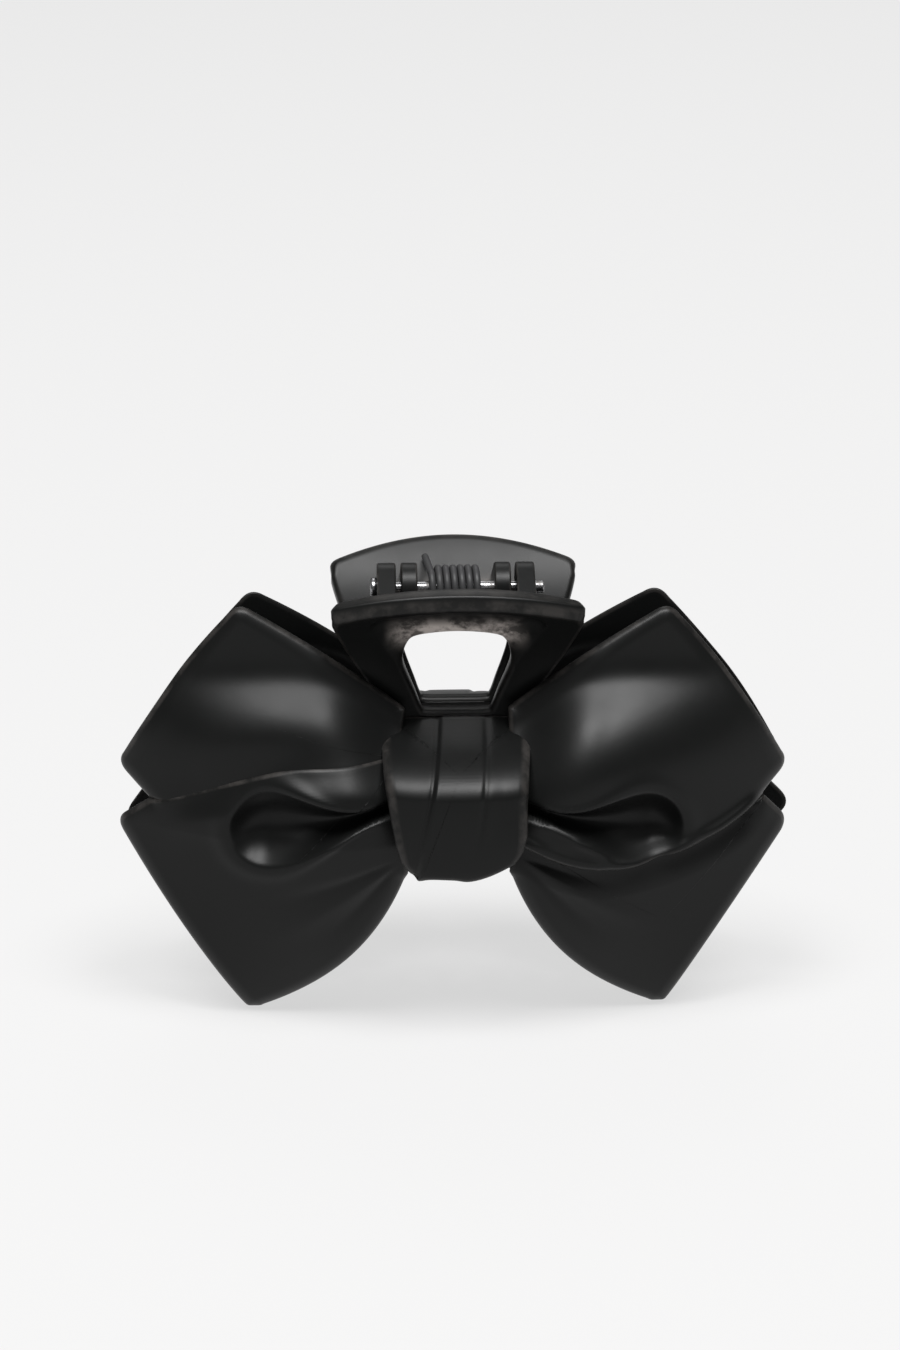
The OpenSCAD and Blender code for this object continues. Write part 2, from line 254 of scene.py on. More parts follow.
def depth_inside(x: np.ndarray, z: np.ndarray, outline: Loop) -> np.ndarray:
    """How far points lie inside a closed outline.

    Args:
        x: The points' distances to the right.
        z: The points' heights.
        outline: The outline.

    Returns:
        The distance from each point to the outline, positive inside and negative outside.
    """
    p = np.stack([np.ravel(x), np.ravel(z)], axis=1)
    a = outline
    b = np.roll(outline, -1, axis=0)
    best = np.full(len(p), 1e9)
    inside = np.zeros(len(p), bool)
    for start, end in zip(a, b):
        way = end - start
        share = np.clip(((p - start) @ way) / max(way @ way, 1e-12), 0.0, 1.0)
        best = np.minimum(best, np.linalg.norm(p - start - share[:, None] * way, axis=1))
        if start[1] != end[1]:
            spans = (start[1] > p[:, 1]) != (end[1] > p[:, 1])
            cross = start[0] + (p[:, 1] - start[1]) * way[0] / way[1]
            inside ^= spans & (p[:, 0] < cross)
    return np.where(inside, best, -best).reshape(np.shape(x))


# ---- Meshes ----


@dataclass
class Mesh:
    """A mesh being put together, with a level at each point for rubbed edges and for the painted sheen
    band.
    """

    points: np.ndarray
    faces: list[tuple[int, ...]]
    rub: np.ndarray

    def joined(self, other: "Mesh") -> "Mesh":
        """This mesh and another as one."""
        start = len(self.points)
        moved = [tuple(i + start for i in face) for face in other.faces]
        return Mesh(
            np.vstack([self.points, other.points]),
            self.faces + moved,
            np.concatenate([self.rub, other.rub]),
        )


def loft(loops: Sequence[np.ndarray], rubs: Sequence[float], ring: bool) -> Mesh:
    """Joins closed loops of equal length, one after another.

    Args:
        loops: The loops, each as rows of x, y and z.
        rubs: How exposed each loop is to rubbing, from 0 to 1.
        ring: True if the last loop joins the first; otherwise both ends are closed by fans.

    Returns:
        The closed mesh.
    """
    n = len(loops[0])
    count = len(loops)
    points = [np.vstack(loops)]
    faces = []
    nxt = np.roll(np.arange(n), -1)
    for k in range(count if ring else count - 1):
        low, high = k * n, ((k + 1) % count) * n
        for j in range(n):
            faces.append((low + j, low + nxt[j], high + nxt[j], high + j))
    rub = np.repeat(np.asarray(rubs, float), n)
    if not ring:
        middle = count * n
        points.append(np.vstack([loops[0].mean(axis=0), loops[-1].mean(axis=0)]))
        rub = np.append(rub, [rubs[0], rubs[-1]])
        last = (count - 1) * n
        for j in range(n):
            faces.append((middle, nxt[j], j))
            faces.append((middle + 1, last + j, last + nxt[j]))
    return Mesh(np.vstack(points), faces, rub)


def make_object(name: str, shape: Mesh, smooth: bool = True) -> bpy.types.Object:
    """Makes a scene object of a mesh given in millimetres.

    Args:
        name: The piece's name.
        shape: The mesh.
        smooth: Whether its faces are shaded smooth.

    Returns:
        The object, at the origin, with its faces pointing outwards.
    """
    data = bpy.data.meshes.new(name)
    data.from_pydata((shape.points * MM).tolist(), [], shape.faces)
    # Per-point level for rubbed edges and for the painted sheen band.
    rub = data.attributes.new("rub", "FLOAT", "POINT")
    rub.data.foreach_set("value", shape.rub.astype(np.float32))
    work = bmesh.new()
    work.from_mesh(data)
    bmesh.ops.remove_doubles(work, verts=work.verts, dist=1e-7)
    bmesh.ops.recalc_face_normals(work, faces=work.faces)
    if work.calc_volume(signed=True) < 0:
        bmesh.ops.reverse_faces(work, faces=work.faces)
    work.to_mesh(data)
    work.free()
    data.polygons.foreach_set("use_smooth", [smooth] * len(data.polygons))
    piece = bpy.data.objects.new(name, data)
    bpy.context.scene.collection.objects.link(piece)
    return piece


def rounded_edge(steps: int = 5) -> list[tuple[float, float, float, float]]:
    """The section of a sheet's edge, from its outer face round to its inner face.

    Args:
        steps: The number of steps round each of its two roundings.

    Returns:
        For each step, how far out it stands and how deep it lies, both as shares of the
        rounding, then whether the flat between the roundings lies before it, and how exposed
        it is.
    """
    turn = np.linspace(0.0, math.pi / 2, steps + 1)
    near = [(math.sin(a), 1 - math.cos(a), 0.0, max(math.sin(2 * a), 0.0) ** 0.5) for a in turn[1:]]
    far = [(math.sin(a), 1 + math.cos(a), 1.0, 0.6 * max(math.sin(2 * a), 0.0) ** 0.5)
           for a in turn[:0:-1]]
    return near + far


@dataclass
class Sheet:
    """A moulded wall laid out from a flat pattern, with rounded edges.

    Attributes:
        lay: Places pattern points at shares of the way through the wall, from its outer face.
        wall: The wall's thickness at pattern points.
        radius: The rounding of its edges.
        nose: The section of the edge that faces up the pattern, where it isn't just rounded: for
            each step, how far out it stands and the share of the way through the wall.
    """

    lay: Callable[[Loop, np.ndarray], np.ndarray]
    wall: Callable[[Loop], np.ndarray]
    radius: float
    nose: Optional[tuple[tuple[float, float], ...]] = None

    def _face(self, loop: Loop, share: float) -> np.ndarray:
        """A loop of the pattern laid on the outer face or, with a share of 1, the inner one."""
        return self.lay(loop, np.full(len(loop), share))

    def _edge(self, loop: Loop, normal: Loop, nosed: bool) -> tuple[list[np.ndarray], list[float]]:
        """The loops round an edge, from the outer face to the inner one.

        Args:
            loop: Where the rounding starts, as pattern points.
            normal: The way out of the edge at each point.
            nosed: Whether the edge that faces up the pattern has the nose's section.

        Returns:
            The loops and how exposed each is.
        """
        wall = self.wall(loop)
        radius = np.minimum(self.radius, 0.48 * wall)
        upward = ease(normal[:, 1] * 1.4 - 0.2)
        loops, rubs = [], []
        for k, (out, deep, flat, rub) in enumerate(rounded_edge()):
            stand = radius * out
            share = (radius * deep + flat * (wall - 2 * radius)) / wall
            if nosed and self.nose:
                nose_out, nose_share = self.nose[k]
                stand = stand + (radius + nose_out - stand) * upward
                share = share + (nose_share - share) * upward
            loops.append(self.lay(loop + normal * stand[:, None], share))
            rubs.append(rub)
        return loops, rubs

    def over(self, outline: Loop, centre: Sequence[float], rings: int) -> Mesh:
        """A closed sheet over an outline.

        Args:
            outline: The outline, anticlockwise, all of it seen from the centre.
            centre: The centre that the sheet's rings shrink to.
            rings: The number of rings on each face.

        Returns:
            The closed mesh.
        """
        normal = outward(outline, 2)
        edge = outline - normal * self.radius
        middle = np.asarray(centre, float)
        flat = [middle + (edge - middle) * (k + 1) / rings for k in range(rings)]
        tips, rubs = self._edge(edge, normal, nosed=True)
        loops = [self._face(loop, 0.0) for loop in flat] + tips
        loops += [self._face(loop, 1.0) for loop in reversed(flat)]
        return loft(loops, [0.0] * rings + rubs + [0.0] * rings, ring=False)

    def between(self, hole: Loop, outline: Loop, rings: int) -> Mesh:
        """A closed sheet between a hole and an outline with the same number of points.

        Args:
            hole: The hole's outline, anticlockwise.
            outline: The sheet's outline, anticlockwise.
            rings: The number of rings on each face.

        Returns:
            The closed mesh.
        """
        out_normal, in_normal = outward(outline, 2), -outward(hole, 2)
        far, near = outline - out_normal * self.radius, hole - in_normal * self.radius
        flat = [near + (far - near) * k / (rings - 1) for k in range(rings)]
        tips, rubs = self._edge(far, out_normal, nosed=True)
        rim, rim_rubs = self._edge(near, in_normal, nosed=False)
        loops = [self._face(loop, 0.0) for loop in flat] + tips
        loops += [self._face(loop, 1.0) for loop in reversed(flat)] + rim[::-1]
        wear_sheen_share = [0.4 * rub for rub in rim_rubs[::-1]]
        return loft(loops, [0.0] * rings + rubs + [0.0] * rings + wear_sheen_share, ring=True)


# ---- Finishes ----


def add_socket(tree: bpy.types.NodeTree, name: str, kind: str, output: bool = False,
               default: Optional[float] = None) -> bpy.types.NodeTreeInterfaceSocket:
    """Adds a named socket to a node group.

    Args:
        tree: The node group.
        name: The socket's name.
        kind: The socket's type, such as NodeSocketFloat.
        output: True for an output.
        default: The input's value when nothing else sets it.

    Returns:
        The new socket.
    """
    made = tree.interface.new_socket(name, in_out="OUTPUT" if output else "INPUT", socket_type=kind)
    if default is not None:
        made.default_value = default
    return made


class NodeBench:
    """A short way to add and join nodes in one tree."""

    def __init__(self, tree: bpy.types.NodeTree) -> None:
        """Starts on a tree.

        Args:
            tree: The node tree that nodes are added to.
        """
        self.tree = tree

    def add(self, kind: str, settings: Optional[dict] = None, **inputs: object) -> bpy.types.Node:
        """Adds a node.

        Args:
            kind: The node's type.
            settings: Properties of the node, by name.
            **inputs: Values or output sockets for its inputs. An underscore in a name stands
                for a space, and a name such as i0 stands for input number 0.

        Returns:
            The new node.
        """
        node = self.tree.nodes.new(kind)
        for key, value in (settings or {}).items():
            setattr(node, key, value)
        for key, value in inputs.items():
            numbered = key[0] == "i" and key[1:].isdigit()
            socket = node.inputs[int(key[1:])] if numbered else node.inputs[key.replace("_", " ")]
            if isinstance(value, bpy.types.NodeSocket):
                self.tree.links.new(value, socket)
            else:
                socket.default_value = value
        return node

    def maths(self, operation: str, *values: object) -> bpy.types.NodeSocket:
        """The result of a Math node on some values or sockets."""
        inputs = {f"i{k}": value for k, value in enumerate(values)}
        return self.add("ShaderNodeMath", {"operation": operation}, **inputs).outputs[0]

    def span(self, value: bpy.types.NodeSocket, low: float, high: float, to_low: float,
             to_high: float) -> bpy.types.NodeSocket:
        """A value carried from one range into another and kept inside it."""
        node = self.add("ShaderNodeMapRange", {"clamp": True}, Value=value)
        for name, number in (("From Min", low), ("From Max", high), ("To Min", to_low),
                             ("To Max", to_high)):
            node.inputs[name].default_value = number
        return node.outputs["Result"]


def moulded_grain_group() -> bpy.types.NodeTree:
    """Builds the group that gives a moulded, spray-coated surface its fine relief.

    Returns:
        The group, with a height and an uneven mask as outputs.
    """
    tree = bpy.data.node_groups.new("moulded_grain", "ShaderNodeTree")
    add_socket(tree, "Grain Scale", "NodeSocketFloat", default=9000.0)
    add_socket(tree, "Ripple Scale", "NodeSocketFloat", default=420.0)
    add_socket(tree, "Grain Share", "NodeSocketFloat", default=0.25)
    add_socket(tree, "Height", "NodeSocketFloat", output=True)
    add_socket(tree, "Uneven", "NodeSocketFloat", output=True)
    bench = NodeBench(tree)
    given = bench.add("NodeGroupInput").outputs
    place = bench.add("ShaderNodeTexCoord").outputs["Object"]
    grain = bench.add("ShaderNodeTexNoise", Vector=place, Scale=given["Grain Scale"], Detail=2.0,
                      Roughness=0.6).outputs["Fac"]
    ripple = bench.add("ShaderNodeTexNoise", Vector=place, Scale=given["Ripple Scale"], Detail=2.0,
                       Roughness=0.45).outputs["Fac"]
    fine = bench.maths("MULTIPLY", grain, given["Grain Share"])
    height = bench.maths("ADD", fine, ripple)
    patch = bench.add("ShaderNodeTexNoise", Vector=place, Scale=55.0, Detail=4.0,
                      Roughness=0.6).outputs["Fac"]
    uneven = bench.span(patch, 0.35, 0.65, 0.0, 1.0)
    result = bench.add("NodeGroupOutput")
    tree.links.new(height, result.inputs["Height"])
    tree.links.new(uneven, result.inputs["Uneven"])
    return tree


def edge_wear_group() -> bpy.types.NodeTree:
    """Builds the group that finds where handling has rubbed an edge and where the painted sheen band
    lies.

    Returns:
        The group, with a mask as its output.
    """
    tree = bpy.data.node_groups.new("edge_wear", "ShaderNodeTree")
    add_socket(tree, "Amount", "NodeSocketFloat", default=0.5)
    add_socket(tree, "Patch Scale", "NodeSocketFloat", default=260.0)
    add_socket(tree, "Worn", "NodeSocketFloat", output=True)
    bench = NodeBench(tree)
    given = bench.add("NodeGroupInput").outputs
    rub = bench.add("ShaderNodeAttribute", {"attribute_name": "rub"}).outputs["Fac"]
    place = bench.add("ShaderNodeTexCoord").outputs["Object"]
    patch = bench.add("ShaderNodeTexNoise", Vector=place, Scale=given["Patch Scale"], Detail=5.0,
                      Roughness=0.65).outputs["Fac"]
    broken = bench.span(patch, 0.42, 0.62, 0.15, 1.0)
    wear_sheen_share = bench.maths("MULTIPLY", bench.maths("MULTIPLY", rub, broken), given["Amount"])
    result = bench.add("NodeGroupOutput")
    tree.links.new(wear_sheen_share, result.inputs["Worn"])
    return tree


def shared_group(name: str, build: Callable[[], bpy.types.NodeTree]) -> bpy.types.NodeTree:
    """The named node group, built the first time it is asked for."""
    return bpy.data.node_groups.get(name) or build()


@dataclass(frozen=True)
class SoftTouchPlastic:
    """Moulded plastic under a thin soft-touch coat.

    Attributes:
        name: The material's name.
        colour: The coat's colour.
        rubbed: The colour where an edge is rubbed, and the light warm colour of the painted sheen band
            on the thumb tabs.
        roughness: The coat's roughness at its smoothest and roughest patches.
        specular: The coat's specular level.
        wear: How much edges are rubbed and how strongly the painted sheen band shows.
        relief: Height of the fine relief in metres.
    """

    name: str = "soft_touch_black"
    colour: tuple[float, float, float, float] = (0.0034, 0.0036, 0.0035, 1.0)
    # Light warm colour for rubbed edges and for the painted sheen band.
    rubbed: tuple[float, float, float, float] = (0.5, 0.45, 0.42, 1.0)
    roughness: tuple[float, float] = (0.36, 0.43)
    specular: float = 0.18
    wear: float = 0.04
    relief: float = 0.00004

    def build(self) -> bpy.types.Material:
        """Builds the material."""
        material = bpy.data.materials.new(self.name)
        material.use_nodes = True
        tree = material.node_tree
        bench = NodeBench(tree)
        shader = tree.nodes["Principled BSDF"]
        grain = bench.add("ShaderNodeGroup",
                          {"node_tree": shared_group("moulded_grain", moulded_grain_group)})
        wear = bench.add("ShaderNodeGroup",
                         {"node_tree": shared_group("edge_wear", edge_wear_group)})
        wear.inputs["Amount"].default_value = self.wear
        wear_sheen_share = wear.outputs["Worn"]
        # Rubbed edges and the painted sheen band both take the light warm colour here.
        colour = bench.add("ShaderNodeMix", {"data_type": "RGBA"}, i0=wear_sheen_share)
        colour.inputs[6].default_value = self.colour
        colour.inputs[7].default_value = self.rubbed
        tree.links.new(colour.outputs[2], shader.inputs["Base Color"])
        rough = bench.span(grain.outputs["Uneven"], 0.0, 1.0, *self.roughness)
        smoother = bench.maths("MULTIPLY", wear_sheen_share, -0.08)
        tree.links.new(bench.maths("ADD", rough, smoother), shader.inputs["Roughness"])
        shader.inputs["Specular IOR Level"].default_value = self.specular
        bump = bench.add("ShaderNodeBump", Height=grain.outputs["Height"], Strength=0.35,
                         Distance=self.relief)
        tree.links.new(bump.outputs["Normal"], shader.inputs["Normal"])
        return material


@dataclass(frozen=True)
class DrawnSteel:
    """Drawn steel with fine lines round it and a few dull patches.

    Attributes:
        name: The material's name.
        colour: The metal's colour.
        dull: The colour of its dull patches.
        roughness: The metal's roughness where bright and where dull.
        metallic: How metallic it is where bright and where dull.
        line_scale: How close the drawing lines lie.
    """

    name: str = "drawn_steel"
    colour: tuple[float, float, float, float] = (0.34, 0.34, 0.35, 1.0)
    dull: tuple[float, float, float, float] = (0.12, 0.115, 0.11, 1.0)
    roughness: tuple[float, float] = (0.22, 0.45)
    metallic: tuple[float, float] = (1.0, 0.85)
    line_scale: float = 5000.0

    def build(self) -> bpy.types.Material:
        """Builds the material."""
        material = bpy.data.materials.new(self.name)
        material.use_nodes = True
        tree = material.node_tree
        bench = NodeBench(tree)
        shader = tree.nodes["Principled BSDF"]
        place = bench.add("ShaderNodeTexCoord").outputs["Object"]
        along = bench.add("ShaderNodeSeparateXYZ", Vector=place).outputs["X"]
        lines = bench.add("ShaderNodeTexNoise", {"noise_dimensions": "1D"}, W=along,
                          Scale=self.line_scale, Detail=2.0).outputs["Fac"]
        patch = bench.add("ShaderNodeTexNoise", Vector=place, Scale=900.0, Detail=4.0).outputs["Fac"]
        mask = bench.span(patch, 0.48, 0.66, 0.0, 1.0)
        colour = bench.add("ShaderNodeMix", {"data_type": "RGBA"}, i0=mask)
        colour.inputs[6].default_value = self.colour
        colour.inputs[7].default_value = self.dull
        tree.links.new(colour.outputs[2], shader.inputs["Base Color"])
        tree.links.new(bench.span(mask, 0.0, 1.0, *self.roughness), shader.inputs["Roughness"])
        tree.links.new(bench.span(mask, 0.0, 1.0, *self.metallic), shader.inputs["Metallic"])
        bump = bench.add("ShaderNodeBump", Height=lines, Strength=0.25, Distance=0.00002)
        tree.links.new(bump.outputs["Normal"], shader.inputs["Normal"])
        return material


@dataclass(frozen=True)
class StudioPaper:
    """The pale floor that the clip stands on.

    Attributes:
        name: The material's name.
        colour: The floor's colour.
        glow: How brightly it is lit from beneath.
        roughness: The floor's roughness.
    """

    name: str = "studio_paper"
    colour: tuple[float, float, float, float] = (0.13, 0.129, 0.129, 1.0)
    glow: float = 0.64
    roughness: float = 0.85

    def build(self) -> bpy.types.Material:
        """Builds the material."""
        material = bpy.data.materials.new(self.name)
        material.use_nodes = True
        shader = material.node_tree.nodes["Principled BSDF"]
        shader.inputs["Base Color"].default_value = self.colour
        shader.inputs["Roughness"].default_value = self.roughness
        shader.inputs["Specular IOR Level"].default_value = 0.1
        shader.inputs["Emission Color"].default_value = (1.0, 1.0, 1.0, 1.0)
        shader.inputs["Emission Strength"].default_value = self.glow
        return material


@dataclass
class Finishes:
    """The clip's materials, each built once."""

    plastic: bpy.types.Material = field(default_factory=lambda: SoftTouchPlastic().build())
    pin: bpy.types.Material = field(default_factory=lambda: DrawnSteel().build())
    wire: bpy.types.Material = field(
        default_factory=lambda: SoftTouchPlastic(
            name="coated_wire", colour=(0.03, 0.03, 0.031, 1.0), rubbed=(0.4, 0.39, 0.38, 1.0),
            roughness=(0.34, 0.46), wear=0.4,
        ).build()
    )


def dress(piece: bpy.types.Object, material: bpy.types.Material, slot: Slot, body: str,
          *nodes: str) -> None:
    """Gives a finished piece its material and body, and hides the CAD nodes that it stands for.

    Args:
        piece: The piece.
        material: Its material.
        slot: The record's slot for its finish; not used.
        body: The body that it rides on.
        *nodes: The CAD nodes that it replaces.
    """
    piece.data.materials.clear()
    piece.data.materials.append(material)
    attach(piece, body)
    if nodes:
        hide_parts(*nodes)
    log.info("%s: %d faces on %s", piece.name, len(piece.data.polygons), body)


def node_box(node: str) -> tuple[np.ndarray, np.ndarray]:
    """A CAD node's lowest and highest corners in millimetres."""
    low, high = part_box(node)
    return np.array(low) / MM, np.array(high) / MM
# ---- The bow's folded surface ----


def smooth_line(points: Sequence[tuple[float, float]], steps: int = 8) -> Loop:
    """A smooth line through some points.

    Args:
        points: The points, in order.
        steps: The number of steps between two neighbouring points.

    Returns:
        The points of the line, both ends among them.
    """
    p = np.asarray(points, float)
    p = np.vstack([2 * p[0] - p[1], p, 2 * p[-1] - p[-2]])
    t = np.linspace(0.0, 1.0, steps, endpoint=False)[:, None]
    out = []
    for a, b, c, d in zip(p, p[1:], p[2:], p[3:]):
        out.append(0.5 * (2 * b + (c - a) * t + (2 * a - 5 * b + 4 * c - d) * t**2
                          + (3 * b - a - 3 * c + d) * t**3))
    return np.vstack(out + [p[-2:-1]])


def height_on(line: Loop, x: np.ndarray) -> np.ndarray:
    """The height of a line, given from its low x to its high x, at distances x."""
    return np.interp(x, line[:, 0], line[:, 1])


@dataclass
class BowShape:
    """The folded surface that the loops and tails share, alike on both jaws.

    Attributes:
        root_x: Distance of the knot's side from the middle.
        reach: Distance at which the surface has fallen to its rim.
        rim: Depth of the outer face along the rim.
        crown: Depth of the outer face beside the knot.
        wall: Thickness of the loops and tails.
        swell_z: Height at which a loop starts to swell out below its flat collar.
        swell_dip: How much lower it starts beside the knot.
        swell_run: Height over which it swells out.
        fold_line: Where the left tail folds over its loop, out from the knot.
        hem_line: Where the right loop's hem lies over its tail, out from the knot.
        hollow_line: The middle of the hollow pressed into each side, out from the knot.
        hollow_drop: How much lower the hollow lies on the right.
        hollow_end: Distance at which the hollow's round end starts.
        hollow_half: Half the hollow's width at its round end, on the left and on the right.
        slit_half: Half its width beside the knot.
        hollow_depth: Its depth beside the knot and at its round end.
    """

    root_x: float
    reach: float
    rim: float
    crown: float
    wall: float = 1.9
    swell_z: float = 58.6
    swell_dip: float = 9.0
    swell_run: float = 15.5
    fold_line: Loop = field(default_factory=lambda: smooth_line(
        [(9.0, 46.9), (12.6, 47.0), (18.7, 47.0), (24.8, 46.6), (29.3, 45.6), (35.4, 43.4),
         (40.9, 41.1), (45.2, 39.4), (49.2, 38.0)]))
    hem_line: Loop = field(default_factory=lambda: smooth_line(
        [(9.0, 33.9), (10.9, 32.8), (13.9, 31.3), (18.4, 29.7), (23.2, 28.9), (27.9, 29.2),
         (34.1, 30.5), (40.5, 32.5), (45.3, 34.8), (49.3, 37.4)]))
    hollow_line: Loop = field(default_factory=lambda: smooth_line(
        [(9.0, 40.2), (11.6, 39.75), (14.8, 38.9), (19.6, 37.7), (24.5, 36.9), (29.8, 36.4),
         (36.5, 35.4), (44.0, 34.4)]))
    hollow_drop: float = 0.6
    hollow_end: float = 29.8
    hollow_half: tuple[float, float] = (6.5, 6.0)
    slit_half: float = 1.25
    hollow_depth: tuple[float, float] = (3.6, 5.2)

    def base(self, x: np.ndarray, z: np.ndarray) -> np.ndarray:
        """Depth of the surface before folds and hollows are pressed into it.

        Args:
            x: Distances to the right of the middle.
            z: Heights.

        Returns:
            The depth at each place.
        """
        far = np.clip((np.abs(x) - 10.0) / (self.reach - 10.0), 0.0, 1.0)
        near = hump(np.maximum(np.abs(x) - 7.0, 0.0) / 9.5)
        under = (self.swell_z - self.swell_dip * near - z) / self.swell_run
        under = np.clip((under + np.sqrt(under**2 + 0.025)) / 2, 0.0, 1.0)
        collar = (0.25 + 0.75 * (1.0 - (1.0 - under) ** 2.1)) * (1.0 - 0.2 * near)
        belly = np.clip(z / 34.0, 0.0, 1.0) ** 0.75
        return self.rim + (self.crown - self.rim) * (1.0 - far**1.8) * collar * belly

    def hollow(self, x: np.ndarray, z: np.ndarray, side: Side) -> np.ndarray:
        """How far the hollow beside the knot is pressed in, or stands proud along its lips.

        Args:
            x: Distances to the right of the middle.
            z: Heights.
            side: The side of the jaw.

        Returns:
            The depth to take away at each place.
        """
        out = np.abs(x)
        half = self.hollow_half[0 if side is Side.LEFT else 1]
        drop = 0.0 if side is Side.LEFT else self.hollow_drop
        opening = ease((out - 12.0) / (self.hollow_end - 12.0)) ** 1.3
        width = self.slit_half + (half - self.slit_half) * opening
        up = (z - height_on(self.hollow_line, out) + drop) / width
        past = np.maximum(out - self.hollow_end, 0.0) / half
        q = np.sqrt(up**2 + past**2)
        inside = 1.0 - q**2
        bowl = (inside + np.sqrt(inside**2 + 0.02)) / 2
        near, far = self.hollow_depth
        depth = near + (far - near) * ease((out - 13.0) / 12.0)
        lip = 0.4 * hump((q - 1.2) / 0.25) * ease((out - 11.0) / 6.0)
        return depth * bowl - lip

    def pleats(self, x: np.ndarray, z: np.ndarray, side: Side) -> np.ndarray:
        """How far the tails' pleats, which fan out from the knot's lower corners, are pressed in.

        Args:
            x: Distances to the right of the middle.
            z: Heights.
            side: The side of the jaw.

        Returns:
            The depth to take away at each place.
        """
        out, down = np.abs(x) - 8.5, 31.5 - z
        angle = np.degrees(np.arctan2(down, np.maximum(out, 0.01)))
        run = np.hypot(out, down)
        near = ease((run - 1.0) / 5.0)
        total = np.zeros(np.shape(x))
        folds = ((24.0, 5.0, 0.3, 26.0), (38.0, 5.5, -0.25, 30.0), (51.0, 4.5, 0.25, 24.0))
        if side is Side.RIGHT:
            folds = ((20.0, 4.5, 0.3, 22.0), (33.0, 5.0, -0.25, 30.0), (47.0, 5.0, 0.25, 26.0))
        for middle, spread, depth, length in folds:
            total += depth * hump((angle - middle) / spread) * near * ease((length - run) / 14.0)
        return total

    def over_fold(self, x: np.ndarray, z: np.ndarray) -> np.ndarray:
        """Height above the line where the left tail folds over its loop."""
        return 0.96 * (z - height_on(self.fold_line, np.abs(x)))

    def over_hem(self, x: np.ndarray, z: np.ndarray) -> np.ndarray:
        """Height above the line where the right loop's hem lies over its tail."""
        return 0.97 * (z - height_on(self.hem_line, np.abs(x)))

    def loop(self, x: np.ndarray, z: np.ndarray, side: Side) -> np.ndarray:
        """Depth of a loop's outer face.

        Args:
            x: Distances to the right of the middle.
            z: Heights.
            side: The side of the jaw.

        Returns:
            The depth at each place.
        """
        face = self.base(x, z)
        if side is Side.LEFT:
            above = np.maximum(self.over_fold(x, z), 0.0)
            return face - self.valley(x) * hump(above / 5.0)
        above = self.over_hem(x, z)
        face = face + 0.9 * hump((above - 1.1) / 1.1) * ease((51.0 - np.abs(x)) / 6.0)
        return face - self.hollow(x, z, side)

    def valley(self, x: np.ndarray) -> np.ndarray:
        """Depth of the valley that the left loop runs into above its fold."""
        out = np.abs(x)
        return (0.8 + 1.4 * hump((out - 28.0) / 15.0)) * ease((50.0 - out) / 9.0)

    def tail(self, x: np.ndarray, z: np.ndarray, side: Side) -> np.ndarray:
        """Depth of a tail's outer face.

        Args:
            x: Distances to the right of the middle.
            z: Heights.
            side: The side of the jaw.

        Returns:
            The depth at each place.
        """
        face = self.base(x, z) - self.pleats(x, z, side)
        if side is Side.RIGHT:
            below = np.maximum(-self.over_hem(x, z), 0.0)
            return face - 1.6 * (1.0 - ease(below / 5.5)) * ease((50.0 - np.abs(x)) / 5.0)
        below = np.maximum(-self.over_fold(x, z), 0.0)
        lip = 0.35 * hump((below - 4.8) / 2.6) * ease((48.0 - np.abs(x)) / 8.0)
        face = face - (self.valley(x) - 0.2) * (1.0 - ease(below / 5.4)) + lip
        return face - self.hollow(x, z, side)


